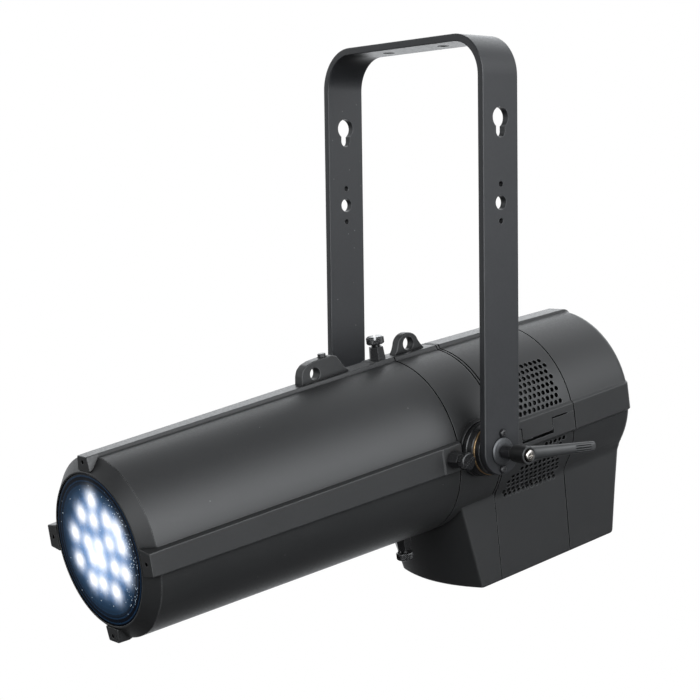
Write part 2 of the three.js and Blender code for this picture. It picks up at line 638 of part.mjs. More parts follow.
// front ring with four drilled pads in line with the ribs
function lensBezel() {
  const seatR = LENS_R + 0.6;
  const ring = lathe([[73, BEZEL_FRONT_Y], [78, BEZEL_FRONT_Y], [91.4, -405],
    [TUBE_FRONT_R, BEZEL_Y], [82, BEZEL_Y], [82, -404], [seatR, -404], [seatR, -413.6],
    [73, -414.6]]);
  const pad = loft(trapezoid(BEZEL_FRONT_Y, 11.5, 78.6, 9.6, 93.4),
    trapezoid(BEZEL_Y, 13.5, 85, 10.5, RIB_FRONT_R));
  const screwHole = cylY(2.1, -420, -408, 8, 0, 87.5);
  return cut(join(ring, ...fourAround(pad)), ...fourAround(screwHole));
}
add(head, 'lens_bezel', lensBezel(), LOOK.yoke);

// hexagonal glands on the tube, with slotted lock plungers in them
// radius, from z, to z, segments, x, y, end radius
const PLUNGER = [
  [4.6, 92.4, 119.8, 10], [11.3, 119.6, 125.6, 14], [11.3, 125.5, 127, 14, 0, 0, 9.8],
];
const gland = cut(cylZ(10.1, 103.5, 113.3, 6), cylZ(LOCK_HOLE_R, 100, 116, 10))
  .translate([0, LOCK_Y, 0]);
const plunger = cut(stack(cylZ, PLUNGER), box(-1.2, 1.2, -14, 14, 124.4, 130))
  .translate([0, LOCK_Y, 0]);
for (const [place, angle] of Object.entries(QUARTERS)) {
  add(head, `lock_gland_${place}`, turned(gland, angle), LOOK.gland);
  add(head, `lock_plunger_${place}`, turned(plunger, angle), LOOK.plunger);
}

export default root;
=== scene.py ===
"""A projector head with a long lens tube, tilted in a U-shaped yoke.

The yoke's crossbar lies along X with its top at z = 0 and its legs hang down. The tilt axis
runs along X below it. The lens looks towards -Y and dips; the rear, towards +Y, is raised.
"Right" is +X. Below the head's round shell, from its middle to the rear, hangs a box.
"""
import bpy
import bmesh
import json
import math
import numpy as np
from functools import cached_property, reduce
from mathutils import Vector, Matrix


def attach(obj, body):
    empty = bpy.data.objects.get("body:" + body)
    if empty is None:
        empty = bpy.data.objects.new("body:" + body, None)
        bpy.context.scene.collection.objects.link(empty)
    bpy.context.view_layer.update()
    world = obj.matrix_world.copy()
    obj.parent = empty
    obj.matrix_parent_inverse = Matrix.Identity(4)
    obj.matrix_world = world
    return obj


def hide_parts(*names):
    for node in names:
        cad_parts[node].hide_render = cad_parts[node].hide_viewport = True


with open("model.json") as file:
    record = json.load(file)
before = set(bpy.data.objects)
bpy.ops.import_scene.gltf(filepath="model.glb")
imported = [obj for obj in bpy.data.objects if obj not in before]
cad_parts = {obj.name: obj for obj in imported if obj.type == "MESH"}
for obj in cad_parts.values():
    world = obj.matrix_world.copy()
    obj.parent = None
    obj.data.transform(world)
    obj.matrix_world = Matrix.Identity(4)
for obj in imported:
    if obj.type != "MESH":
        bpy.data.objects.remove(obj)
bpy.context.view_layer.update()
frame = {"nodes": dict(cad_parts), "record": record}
record = frame["record"]
BODY_OF = {node: body for body, nodes in record["behaviour"]["bodies"].items() for node in nodes}
SLOT_OF = {part["node"]: part["material_slot"] for part in record["subparts"]}
scene = bpy.context.scene

# --------------------------------------------------------------- coordinates
# Shapes are written in mm with the origin on the tilt axis. In the head's frame y runs along
# the lens axis (rear +) and z points to the head's own top.
TILT = math.radians(9.26)
DROP = 436.3          # tilt axis below the top of the yoke
QUARTERS = (0, 90, 180, 270)


def pitch(points, angle):
    """Turns points about X."""
    cos, sin = math.cos(angle), math.sin(angle)
    x, y, z = points.T
    return np.stack([x, y * cos - z * sin, y * sin + z * cos], 1)


def from_yoke(points):
    return (points - np.array([0, 0, DROP])) / 1000


def from_head(points):
    return from_yoke(pitch(points, TILT))


# ------------------------------------------------------------------ mesh kit
class Mesh:
    """Points in mm and faces as tuples of indices."""

    def __init__(self, points, faces):
        self.points = np.asarray(points, float).reshape(-1, 3)
        self.faces = [tuple(int(i) for i in face) for face in faces]

    def shift(self, offset):
        return Mesh(self.points + np.array(offset, float), self.faces)

    def mirror_x(self):
        return Mesh(self.points * (-1, 1, 1), [face[::-1] for face in self.faces])

    def turn(self, degrees):
        """Turns about Y: 90 takes the top to the +X side."""
        cos, sin = math.cos(math.radians(degrees)), math.sin(math.radians(degrees))
        x, y, z = self.points.T
        return Mesh(np.stack([x * cos + z * sin, y, -x * sin + z * cos], 1), self.faces)


def merge(meshes):
    """Puts meshes together as they are, without a boolean."""
    faces, base = [], 0
    for mesh in meshes:
        faces += [tuple(i + base for i in face) for face in mesh.faces]
        base += len(mesh.points)
    return Mesh(np.vstack([mesh.points for mesh in meshes]), faces)


def loft(rings, torus=False, mirror_caps=False):
    """Skins rings. Mirror caps need rings symmetric about their first and middle points."""
    count = len(rings[0])
    faces = []
    for k in range(len(rings) if torus else len(rings) - 1):
        near, far = k * count, (k + 1) % len(rings) * count
        for i in range(count):
            j = (i + 1) % count
            faces.append((near + i, near + j, far + j, far + i))
    if not torus:
        cap = [tuple(range(count))]
        if mirror_caps:
            half = count // 2
            cap = [(0, 1, count - 1)]
            cap += [(i, i + 1, count - i - 1, count - i) for i in range(1, half - 1)]
            cap.append((half - 1, half, half + 1))
        last = (len(rings) - 1) * count
        faces += [face[::-1] for face in cap]
        faces += [tuple(last + i for i in face) for face in cap]
    return Mesh(np.vstack(rings), faces)


def bend(start, tip, end, steps):
    """Points of a quadratic curve."""
    shares = [k / steps for k in range(steps + 1)]
    return [(1 - u) ** 2 * start + 2 * u * (1 - u) * tip + u * u * end for u in shares]


def corner(tip, way_in, way_out, reach, steps):
    """Rounds one corner, given the directions into and out of it."""
    tip, way_in, way_out = (np.array(p, float) for p in (tip, way_in, way_out))
    way_in, way_out = way_in / np.linalg.norm(way_in), way_out / np.linalg.norm(way_out)
    return bend(tip - way_in * reach, tip, tip + way_out * reach, steps)


def soften(outline, radius, steps=3, closed=True):
    """Rounds every corner of a polyline."""
    points = [np.array(p, float) for p in outline]
    out = []
    for i, tip in enumerate(points):
        if not closed and i in (0, len(points) - 1):
            out.append(tip)
            continue
        before, after = points[i - 1] - tip, points[(i + 1) % len(points)] - tip
        length_before, length_after = np.linalg.norm(before), np.linalg.norm(after)
        reach = min(radius, 0.45 * length_before, 0.45 * length_after)
        start, end = tip + before / length_before * reach, tip + after / length_after * reach
        out += bend(start, tip, end, steps)
    return out


# column order that lays a shape built along Z along another axis
AXIS_ORDER = {"X": [2, 0, 1], "Y": [1, 2, 0], "Z": [0, 1, 2]}


def lathe(profile, segments=96, axis="Y", at=(0, 0, 0), soft=0.0, steps=3, ripple=None):
    """Turns a profile of (radius, along): a solid if it starts on the axis, else a ring."""
    closed = profile[0][0] > 0
    verts, faces, rows = [], [], []
    for radius, along in soften(profile, soft, steps, closed) if soft else profile:
        if radius < 1e-6:
            rows.append([len(verts)])
            verts.append((0, 0, along))
            continue
        rows.append(range(len(verts), len(verts) + segments))
        for i in range(segments):
            angle = 2 * math.pi * i / segments
            reach = radius + (ripple(angle, radius, along) if ripple else 0)
            verts.append((reach * math.cos(angle), reach * math.sin(angle), along))
    for k in range(len(rows) if closed else len(rows) - 1):
        low, high = rows[k], rows[(k + 1) % len(rows)]
        for i in range(segments):
            j = (i + 1) % segments
            if len(low) == 1:
                faces.append((low[0], high[j], high[i]))
            elif len(high) == 1:
                faces.append((low[i], low[j], high[0]))
            else:
                faces.append((low[i], low[j], high[j], high[i]))
    return Mesh(np.array(verts, float)[:, AXIS_ORDER[axis]], faces).shift(at)


def cylinder(radius, start, end, axis="Y", at=(0, 0, 0), segments=32, soft=0.0):
    profile = [(0, start), (radius, start), (radius, end), (0, end)]
    return lathe(profile, segments, axis, at, soft)


def inset_outline(outline, distance):
    edges = np.roll(outline, -1, 0) - outline
    edges /= np.linalg.norm(edges, axis=1)[:, None]
    normals = np.stack([-edges[:, 1], edges[:, 0]], 1)
    before = np.roll(normals, 1, 0)
    stretch = 1 / np.maximum(1 + (normals * before).sum(1), 0.3)
    return outline + distance * (normals + before) * stretch[:, None]


def prism(outline, start, end, axis, bevel=0.0, steps=3, taper=None):
    """Outline pushed along an axis with rounded rims; it lies in the other two axes."""
    outline = np.asarray(outline, float)
    x, y = outline.T
    if np.sum(x * np.roll(y, -1) - np.roll(x, -1) * y) <= 0:
        outline = outline[::-1]
    levels = [(0, start), (0, end)]
    if bevel:
        turns = [k / steps * math.pi / 2 for k in range(steps + 1)]
        rim = [(bevel * (1 - math.sin(t)), bevel * (1 - math.cos(t))) for t in turns]
        levels = [(inset, start + rise) for inset, rise in rim]
        levels += [(inset, end - rise) for inset, rise in rim[::-1]]
    rings = []
    for inset, level in levels:
        ring = inset_outline(outline, inset) if inset else outline
        if taper:
            ring = ring * taper((level - start) / (end - start))
        rings.append(np.insert(ring, "XYZ".index(axis), level, axis=1))
    return loft(rings)


def rect(half, low, high):
    """Outline centred across its first axis."""
    return [(-half, low), (half, low), (half, high), (-half, high)]


def box(half_x, y0, y1, z0, z1):
    return prism(rect(half_x, y0, y1), z0, z1, "Z")


def hexagon(radius, first, y=0):
    """First corner at the angle given in degrees."""
    angles = [math.radians(first + 60 * k) for k in range(6)]
    return [(radius * math.cos(t), y + radius * math.sin(t)) for t in angles]


def raw_object(mesh, name):
    data = bpy.data.meshes.new(name)
    data.from_pydata([tuple(p) for p in mesh.points], [], mesh.faces)
    work = bmesh.new()
    work.from_mesh(data)
    bmesh.ops.remove_doubles(work, verts=work.verts, dist=1e-4)
    bmesh.ops.dissolve_degenerate(work, edges=work.edges, dist=1e-5)
    bmesh.ops.recalc_face_normals(work, faces=work.faces)
    work.to_mesh(data)
    work.free()
    obj = bpy.data.objects.new(name, data)
    scene.collection.objects.link(obj)
    return obj


def boolean(mesh, tools, operation):
    """Applies the tools one after another."""
    target = raw_object(mesh, "target")
    helpers = [raw_object(tool, "tool") for tool in tools]
    for helper in helpers:
        modifier = target.modifiers.new("b", "BOOLEAN")
        modifier.operation = operation
        modifier.object = helper
        modifier.solver = "MANIFOLD"
    graph = bpy.context.evaluated_depsgraph_get()
    data = bpy.data.meshes.new_from_object(target.evaluated_get(graph))
    if len(data.vertices) == 0:
        raise RuntimeError("a boolean came out empty")
    points = np.zeros(len(data.vertices) * 3)
    data.vertices.foreach_get("co", points)
    out = Mesh(points, [tuple(p.vertices) for p in data.polygons])
    for obj in [target] + helpers:
        used = obj.data
        bpy.data.objects.remove(obj)
        bpy.data.meshes.remove(used)
    bpy.data.meshes.remove(data)
    return out


def cut(mesh, *tools):
    return boolean(mesh, tools, "DIFFERENCE")


def join(mesh, *others):
    return boolean(mesh, others, "UNION")


def piece(name, mesh, material, node=None, place=from_head, body=None, angle=32, bevel=None):
    """Makes an object; one that stands for no CAD node takes the material it is given and names its
    body.
    """
    obj = raw_object(mesh, name)
    data = obj.data
    points = place(np.array([v.co[:] for v in data.vertices]))
    data.vertices.foreach_set("co", points.astype(np.float32).ravel())
    data.update()
    data.shade_smooth()
    data.set_sharp_from_angle(angle=math.radians(angle))
    data.materials.append(material)
    if bevel:
        modifier = obj.modifiers.new("bevel", "BEVEL")
        modifier.limit_method = "ANGLE"
        modifier.angle_limit = math.radians(60)
        modifier.width = bevel / 1000
        modifier.segments = 2
        modifier.miter_outer = "MITER_ARC"
    obj.modifiers.new("weights", "WEIGHTED_NORMAL").keep_sharp = True
    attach(obj, body or BODY_OF[node])
    if node:
        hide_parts(node)
    return obj


def side_piece(side, name, mesh, material, node, place=from_yoke, **options):
    """A piece drawn on the right, mirrored for the left; {} in the names takes the side."""
    mesh = mesh if side == "right" else mesh.mirror_x()
    return piece(name.format(side), mesh, material, node.format(side), place, **options)


# ----------------------------------------------------------------- materials
class Graph:
    """Node tree of a material or world."""

    def __init__(self, owner, output="ShaderNodeOutputMaterial"):
        owner.use_nodes = True
        self.owner = owner
        self.tree = owner.node_tree
        self.tree.nodes.clear()
        self.surface = self.node(output).inputs[0]

    @cached_property
    def coords(self):
        return self.node("ShaderNodeTexCoord").outputs

    def node(self, kind, **settings):
        node = self.tree.nodes.new(kind)
        for key, value in settings.items():
            setattr(node, key, value)
        return node

    def link(self, source, target):
        self.tree.links.new(source, target)

    def put(self, socket, value):
        """Links a socket or sets a value; colours get an alpha of 1."""
        if isinstance(value, bpy.types.NodeSocket):
            self.link(value, socket)
        elif socket.type == "RGBA" and len(value) == 3:
            socket.default_value = (*value, 1)
        else:
            socket.default_value = value

    def fill(self, node, inputs):
        for name, value in inputs.items():
            self.put(node.inputs[name.replace("_", " ")], value)
        return node

    def math(self, operation, first, second=0.0, third=None, clamp=False):
        node = self.node("ShaderNodeMath", operation=operation, use_clamp=clamp)
        self.put(node.inputs[0], first)
        self.put(node.inputs[1], second)
        if third is not None:
            self.put(node.inputs[2], third)
        return node.outputs[0]

    def times(self, *factors):
        return reduce(lambda a, b: self.math("MULTIPLY", a, b), factors)

    def vector(self, operation, first, second=None, scale=None):
        node = self.node("ShaderNodeVectorMath", operation=operation)
        self.link(first, node.inputs[0])
        if second is not None:
            self.put(node.inputs[1], second)
        if scale is not None:
            self.put(node.inputs["Scale"], scale)
        scalar = operation in ("DOT_PRODUCT", "DISTANCE", "LENGTH")
        return node.outputs["Value" if scalar else "Vector"]

    def texture(self, kind, vector=None, **inputs):
        node = self.node("ShaderNodeTex" + kind)
        self.link(vector or self.coords["Object"], node.inputs["Vector"])
        return self.fill(node, inputs).outputs

    def noise(self, scale, detail=2.0, rough=0.5, vector=None):
        return self.texture("Noise", vector, Scale=scale, Detail=detail, Roughness=rough)["Fac"]

    def dots(self, scale, edge, vector=None):
        """Round dots with soft edges, and a random number for each."""
        cells = self.texture("Voronoi", vector, Scale=scale)
        mask = self.remap(cells["Distance"], span=edge, to=(1.0, 0.0))
        split = self.node("ShaderNodeSeparateColor")
        self.link(cells["Color"], split.inputs[0])
        return mask, split.outputs[0]

    def ramp(self, value, stops):
        node = self.node("ShaderNodeValToRGB")
        self.put(node.inputs[0], value)
        elements = node.color_ramp.elements
        while len(elements) < len(stops):
            elements.new(0.5)
        for i, (position, color) in enumerate(stops):
            elements[i].position = position
            elements[i].color = (*color, 1)
        return node.outputs[0]

    def remap(self, value, span, to=(0.0, 1.0), smooth=False):
        kind = "SMOOTHSTEP" if smooth else "LINEAR"
        node = self.node("ShaderNodeMapRange", interpolation_type=kind)
        self.fill(node, {"Value": value, "From Min": span[0], "From Max": span[1],
                         "To Min": to[0], "To Max": to[1]})
        return node.outputs[0]

    def mix(self, share, first, second, blend="MIX"):
        node = self.node("ShaderNodeMix", data_type="RGBA", blend_type=blend)
        for index, value in ((0, share), (6, first), (7, second)):
            self.put(node.inputs[index], value)
        return node.outputs[2]

    def bump(self, height, strength, distance, normal=None):
        node = self.node("ShaderNodeBump")
        self.fill(node, {"Height": height, "Strength": strength, "Distance": distance})
        if normal:
            self.link(normal, node.inputs["Normal"])
        return node.outputs[0]

    def principled(self, **inputs):
        """Finishes the material and returns it."""
        node = self.fill(self.node("ShaderNodeBsdfPrincipled"), inputs)
        self.link(node.outputs[0], self.surface)
        return self.owner

    def edge(self, radius):
        """0 on flats, towards 1 on edges; also the rounded normal."""
        rounded = self.node("ShaderNodeBevel", samples=4)
        rounded.inputs["Radius"].default_value = radius
        normal = self.node("ShaderNodeNewGeometry").outputs["Normal"]
        facing = self.vector("DOT_PRODUCT", rounded.outputs[0], normal)
        return self.remap(facing, span=(0.995, 0.90)), rounded.outputs[0]


def new_material(name):
    return Graph(bpy.data.materials.new(name))


def shade(color, gain, lift=0.0):
    return tuple(min(1, channel * gain + lift) for channel in color)


def coat_material(name, base, light, rough, grain=1.0, edge_radius=0.0007, edge_gain=1.0,
                  speck=1.0):
    """Mottled coat with dust specks, painted highlights along its edges (patchy) and painted shade
    in its crevices.
    """
    g = new_material(name)
    edge, normal = g.edge(edge_radius)
    cloud = g.noise(scale=9.0, detail=3.0, rough=0.55)
    mottle = g.noise(scale=420.0, detail=2.0, rough=0.6)
    fine = g.noise(scale=1500.0, detail=1.0, rough=0.5)
    color = g.mix(g.remap(cloud, span=(0.3, 0.7)), shade(base, gain=0.90), shade(base, gain=1.10))
    color = g.mix(g.remap(mottle, span=(0.35, 0.7), to=(0, 0.35)), color, light)
    dust, chance = g.dots(scale=105.0, edge=(0.045, 0.075))
    chosen = g.math("GREATER_THAN", chance, 0.93)
    color = g.mix(g.times(g.times(dust, chosen), 0.5 * speck), color, (0.22, 0.22, 0.22))
    # painted highlight: edges are lightened in patches towards a pale colour, standing in for light
    # catching them
    patches = g.noise(scale=60.0, detail=4.0, rough=0.7)
    painted_edge_highlight = g.times(edge, g.remap(patches, span=(0.35, 0.65), to=(0.25, 1.0)))
    painted_edge_highlight = g.math("MULTIPLY", painted_edge_highlight, 0.8 * edge_gain, clamp=True)
    color = g.mix(painted_edge_highlight, color, shade(base, gain=3.0, lift=0.085))
    # painted shade: ambient occlusion darkens the colour and lowers the specular in crevices,
    # creases and recesses
    crevice = g.node("ShaderNodeAmbientOcclusion", samples=6)
    crevice.inputs["Distance"].default_value = 0.0055
    painted_shade_factor = g.remap(crevice.outputs["AO"], span=(0.42, 0.93), to=(0.03, 1.0))
    color = g.mix(1.0, color, painted_shade_factor, blend="MULTIPLY")
    roughness = g.remap(mottle, span=(0.3, 0.7), to=(rough - 0.05, rough + 0.06))
    roughness = g.math("ADD", roughness, g.times(edge, -0.08))
    height = g.math("ADD", g.times(mottle, 0.7), g.times(fine, 0.5))
    return g.principled(
        Base_Color=color, Roughness=roughness, Specular_IOR_Level=g.times(painted_shade_factor, 0.5),
        Normal=g.bump(height, strength=0.22 * grain, distance=0.0002, normal=normal))


def metal_material(name, base, rough, metallic=1.0, edge_gain=0.5):
    """Metal with drawn streaks and painted highlights along its edges."""
    g = new_material(name)
    edge, normal = g.edge(radius=0.0004)
    mottle = g.noise(scale=180.0, detail=4.0, rough=0.65)
    stretch = g.node("ShaderNodeMapping")
    g.link(g.coords["Object"], stretch.inputs[0])
    stretch.inputs["Scale"].default_value = (120.0, 900.0, 900.0)
    streaks = g.noise(scale=1.0, detail=3.0, rough=0.6, vector=stretch.outputs[0])
    color = g.mix(g.remap(mottle, span=(0.3, 0.75)), shade(base, gain=0.8), shade(base, gain=1.25))
    # painted highlight: edges are lightened towards a pale colour
    painted_edge_highlight = g.math("MULTIPLY", edge, edge_gain * 0.6, clamp=True)
    height = g.math("ADD", streaks, mottle)
    return g.principled(
        Base_Color=g.mix(painted_edge_highlight, color, shade(base, gain=2.0, lift=0.10)),
        Roughness=g.remap(streaks, span=(0.3, 0.7), to=(rough - 0.06, rough + 0.09)),
        Metallic=metallic, Normal=g.bump(height, strength=0.10, distance=0.0001, normal=normal))


def noise_material(name, dark, light, rough, scale, bump, **inputs):
    g = new_material(name)
    noise = g.noise(scale=scale, detail=4.0, rough=0.6)
    return g.principled(
        Base_Color=g.mix(g.remap(noise, span=(0.35, 0.65)), dark, light),
        Roughness=g.remap(noise, span=(0.3, 0.7), to=(rough - 0.05, rough + 0.05)),
        Metallic=0.0, Normal=g.bump(noise, strength=bump, distance=0.0002), **inputs)


def board_material():
    g = new_material("circuit_board")
    bricks = g.texture("Brick", Scale=55.0, Mortar_Size=0.03)["Fac"]
    noise = g.noise(scale=260.0, detail=4.0, rough=0.7)
    color = g.mix(bricks, (0.012, 0.055, 0.022), (0.05, 0.14, 0.06))
    color = g.mix(g.remap(noise, span=(0.62, 0.66), to=(0, 0.6)), color, (0.35, 0.30, 0.18))
    return g.principled(Base_Color=color, Roughness=0.42,
                        Normal=g.bump(noise, strength=0.3, distance=0.0004))


def led_material():
    g = new_material("led_white")
    noise = g.noise(scale=300.0, detail=2.0, rough=0.5)
    return g.principled(
        Base_Color=g.mix(noise, (0.85, 0.86, 0.80), (0.95, 0.95, 0.92)), Roughness=0.35,
        Normal=g.bump(noise, strength=0.1, distance=0.0001),
        Emission_Color=(0.75, 0.86, 1.0), Emission_Strength=0.03)


def display_material():
    g = new_material("display_glass")
    wave = g.texture("Wave", Scale=300.0)["Fac"]
    noise = g.noise(scale=25.0, detail=3.0, rough=0.5)
    return g.principled(
        Base_Color=g.mix(g.times(wave, 0.25), (0.006, 0.010, 0.016), (0.012, 0.022, 0.034)),
        Roughness=g.remap(noise, span=(0.3, 0.7), to=(0.06, 0.14)), Coat_Weight=0.6,
        Normal=g.bump(noise, strength=0.02, distance=0.001))


# painted glow: centres of the lit spots painted as emission on the front glass, (x, z) in the
# head's frame
EMITTERS = [
    (3.2, 50.3), (-20.3, 33.6), (1.5, 29.9), (26.5, 33.6), (42.6, 26.7), (-39.5, 11.6),
    (-16.8, 5.6), (3.3, 4.6), (25.3, 10.8), (47.1, 10.2), (-39.6, -16), (-11.7, -10),
    (4.3, -11.4), (27.5, -12.9), (45.9, -16.4), (-19.4, -33.2), (-0.5, -34), (21.9, -38.1)]
CORE_WIDTH, HALO_WIDTH = 6.0, 10.5    # spread of each spot, mm
GLOW_STOPS = [(0.0, (0.003, 0.009, 0.020)), (0.10, (0.012, 0.038, 0.085)),
              (0.30, (0.045, 0.17, 0.42)), (0.55, (0.16, 0.42, 0.90)), (1.0, (0.50, 0.78, 1.0))]


def glass_material():
    """Dark blue front glass whose own emission paints a glow of soft lit spots, as if seen through
    it, and sparkles.
    """
    g = new_material("front_lens_glass")
    split = g.node("ShaderNodeSeparateXYZ")
    g.link(g.coords["Object"], split.inputs[0])
    # object coordinates in metres to head coordinates in mm
    x = g.times(split.outputs[0], 1000.0)
    raised = g.math("ADD", split.outputs[2], DROP / 1000)
    z = g.math("SUBTRACT", g.times(raised, math.cos(TILT)),
               g.times(split.outputs[1], math.sin(TILT)))
    z = g.times(z, 1000.0)
    combine = g.node("ShaderNodeCombineXYZ")
    g.link(x, combine.inputs[0])
    g.link(z, combine.inputs[1])
    flat = combine.outputs[0]
    wobble = g.texture("Noise", flat, Scale=0.16, Detail=4.0)["Color"]
    wobble = g.vector("SCALE", g.vector("SUBTRACT", wobble, (0.5, 0.5, 0.5)), scale=4.2)
    position = g.vector("ADD", flat, wobble)
    sums = {CORE_WIDTH: None, HALO_WIDTH: None}
    for spot in EMITTERS:
        distance = g.vector("DISTANCE", position, (*spot, 0))
        square = g.times(distance, distance)
        for width, total in sums.items():
            blob = g.math("EXPONENT", g.times(square, -1 / (2 * width * width)))
            sums[width] = blob if total is None else g.math("ADD", total, blob)
    core, halo = sums.values()
    radius = g.vector("LENGTH", flat)
    inside = g.remap(radius, span=(60.0, 71.0), to=(1.0, 0.0), smooth=True)
    streaks = g.noise(scale=0.35, detail=6.0, rough=0.7, vector=flat)
    streaks = g.remap(streaks, span=(0.3, 0.7), to=(0.70, 1.25))
    # faint rings near the rim
    rings = g.math("SINE", g.times(radius, 1.3))
    rings = g.times(g.remap(rings, span=(0.2, 1.0)), g.remap(radius, span=(54.0, 68.0)))
    # painted sparkles (glints) in the emission, mostly near the +X edge
    sparkle, chance = g.dots(scale=0.44, edge=(0.14, 0.30), vector=flat)
    rightward = g.remap(g.math("ADD", x, g.times(z, 0.12)), span=(26.0, 56.0))
    zone = g.times(rightward, g.remap(radius, span=(44.0, 56.0)))
    zone = g.math("ADD", g.times(zone, 0.62), 0.03)
    sparkle = g.times(sparkle, g.math("LESS_THAN", chance, zone),
                      g.remap(radius, span=(66.0, 72.5), to=(1.0, 0.0), smooth=True))
    haze = g.times(halo, streaks, inside,
                   g.remap(radius, span=(54.0, 72.0), to=(1.0, 0.5), smooth=True))
    base = g.mix(inside, (0.0015, 0.003, 0.007), (0.010, 0.022, 0.040))
    base = g.mix(g.times(rings, 0.5), base, (0.012, 0.040, 0.085))
    glow = g.ramp(g.math("MULTIPLY", haze, 0.31, clamp=True), GLOW_STOPS)
    glow = g.mix(inside, (0.0, 0.0, 0.0), glow)
    glow = g.mix(g.times(rings, 0.18), glow, (0.006, 0.022, 0.055))
    white = g.math("MULTIPLY", g.math("POWER", core, 0.9), 1.15, clamp=True)
    glow = g.mix(white, glow, (1.0, 1.0, 1.0))
    # painted glow: the glass itself emits the spots, the haze and the sparkles
    return g.principled(
        Base_Color=base, Roughness=0.06, Specular_IOR_Level=0.10,
        Emission_Color=g.mix(sparkle, glow, (0.75, 0.88, 1.0)),
        Emission_Strength=g.math("ADD", g.times(core, 0.35), 0.95))


COAT = coat_material("powder_coat_charcoal", base=(0.0125, 0.0127, 0.0130),
                     light=(0.024, 0.0245, 0.025), rough=0.43, edge_gain=1.7)
YOKE_COAT = coat_material("powder_coat_yoke", base=(0.0125, 0.0130, 0.0145),
                          light=(0.025, 0.026, 0.028), rough=0.40, edge_radius=0.0009,
                          edge_gain=1.3)
BLACK_STEEL = metal_material("blackened_steel", base=(0.010, 0.010, 0.0105), rough=0.30,
                             metallic=0.0, edge_gain=1.2)
PLUNGER = metal_material("black_oxide_plunger", base=(0.0045, 0.0045, 0.005), rough=0.24,
                         metallic=0.0, edge_gain=1.4)
SCREW = metal_material("black_oxide_screw", base=(0.012, 0.012, 0.013), rough=0.31,
                       metallic=0.0, edge_gain=1.2)
WASHER = metal_material("satin_washer", base=(0.055, 0.057, 0.060), rough=0.34,
                        metallic=0.6, edge_gain=0.8)
LEVER = coat_material("lever_satin_black", base=(0.017, 0.0175, 0.018),
                      light=(0.028, 0.0285, 0.029), rough=0.40, grain=0.8, speck=0.0)
LEVER_HUB = coat_material("lever_hub_black", base=(0.007, 0.007, 0.007),
                          light=(0.011, 0.011, 0.011), rough=0.36, grain=0.5, speck=0.0)
STEEL = metal_material("bright_steel", base=(0.62, 0.58, 0.54), rough=0.20)
BRONZE = metal_material("bronze_washer", base=(0.52, 0.34, 0.18), rough=0.34)
ALUMINIUM = metal_material("raw_aluminium", base=(0.55, 0.56, 0.57), rough=0.38)
ANODISED = metal_material("dark_anodised", base=(0.030, 0.030, 0.032), rough=0.32, metallic=0.7)
PLASTIC = coat_material("black_plastic", base=(0.012, 0.012, 0.0125),
                        light=(0.019, 0.019, 0.020), rough=0.44, grain=0.7, speck=0.0,
                        edge_gain=0.6)
RUBBER = noise_material("seal_rubber", dark=(0.008, 0.008, 0.008), light=(0.016, 0.016, 0.016),
                        rough=0.75, scale=700.0, bump=0.3)
CLEAR = noise_material("optical_glass", dark=(0.85, 0.9, 0.95), light=(0.8, 0.86, 0.92),
                       rough=0.08, scale=40.0, bump=0.01, Transmission_Weight=0.9, IOR=1.5)
BOARD = board_material()
LED = led_material()
DISPLAY = display_material()
GLASS = glass_material()

# ---------------------------------------------------------------------- yoke
YOKE_HALF = 132.0     # outer face of a leg from the middle
YOKE_TOP = DROP
BAR_THICK = 8.0
BAR_WIDTH = 50.0
BEND_OUTER = 45.0
BAR_RIM = 1.0         # rounding of the bar's long edges
PLATE_SCREW = 19.2    # screws above and below the tilt axis
SIDE_HOLE = 260.5
# round holes through each leg: z, radius, segments
LEG_HOLES = [(0, 6.4, 40), (-PLATE_SCREW, 2.5, 24), (PLATE_SCREW, 2.5, 24),
             (SIDE_HOLE, 7.5, 48), (SIDE_HOLE - 19.1, 3.0, 32), (SIDE_HOLE + 19.1, 3.0, 32)]
# keyhole through each leg: centre and radius of the round, slot radius, drop to the slot's end
KEY_Z, KEY_RADIUS, KEY_SLOT, KEY_DROP = 348.3, 11, 6.35, 14.2


def bar_blank():
    """Flat bar drawn unfolded, then bent round the U from the right leg's end to the left's."""
    half_width, half_thick = BAR_WIDTH / 2, BAR_THICK / 2
    bend_mid = BEND_OUTER - half_thick
    leg = YOKE_TOP - BEND_OUTER
    bent = leg + bend_mid * math.pi / 2
    total = 2 * (bent + YOKE_HALF - BEND_OUTER)

    def place(along, out):
        """(x, z) at a length from the right-hand pivot; out is off the mid-line, outwards."""
        flip = along > total / 2
        run = total - along if flip else along
        if run <= leg:
            x, z = YOKE_HALF - half_thick + out, run
        elif run <= bent:
            angle = (run - leg) / bend_mid
            cos, sin = math.cos(angle), math.sin(angle)
            x = YOKE_HALF - BEND_OUTER + bend_mid * cos + cos * out
            z = leg + bend_mid * sin + sin * out
        else:
            x, z = YOKE_HALF - BEND_OUTER - (run - bent), YOKE_TOP - half_thick + out
        return (-x if flip else x), z

    turns = [k / 3 * math.pi / 2 for k in range(4)]
    rim = [(BAR_RIM * (1 - math.sin(t)), half_thick - BAR_RIM * (1 - math.cos(t)))
           for t in turns]
    rim += [(inset, -out) for inset, out in rim[::-1]]

    def ring(along, turn=0.0):
        """Cross-section; turn runs round the half-round ends."""
        points = []
        for side, order in ((1, rim), (-1, rim[::-1])):
            for inset, out in order:
                reach = half_width - inset
                x, z = place(along + reach * math.sin(turn), out)
                points.append((x, side * max(reach * math.cos(turn), 1e-5), z))
        return points

    stops = [*np.linspace(30, leg, 9), *np.linspace(leg, bent, 19)[1:],
             *np.linspace(bent, total / 2, 4)[1:]]
    stops += [total - along for along in stops[::-1][1:]]
    rings = [ring(0, -math.pi / 2 * (1 - i / 14)) for i in range(15)]
    rings += [ring(along) for along in stops]
    rings += [ring(total, math.pi / 2 * (i / 14)) for i in range(15)]
    return loft(rings)


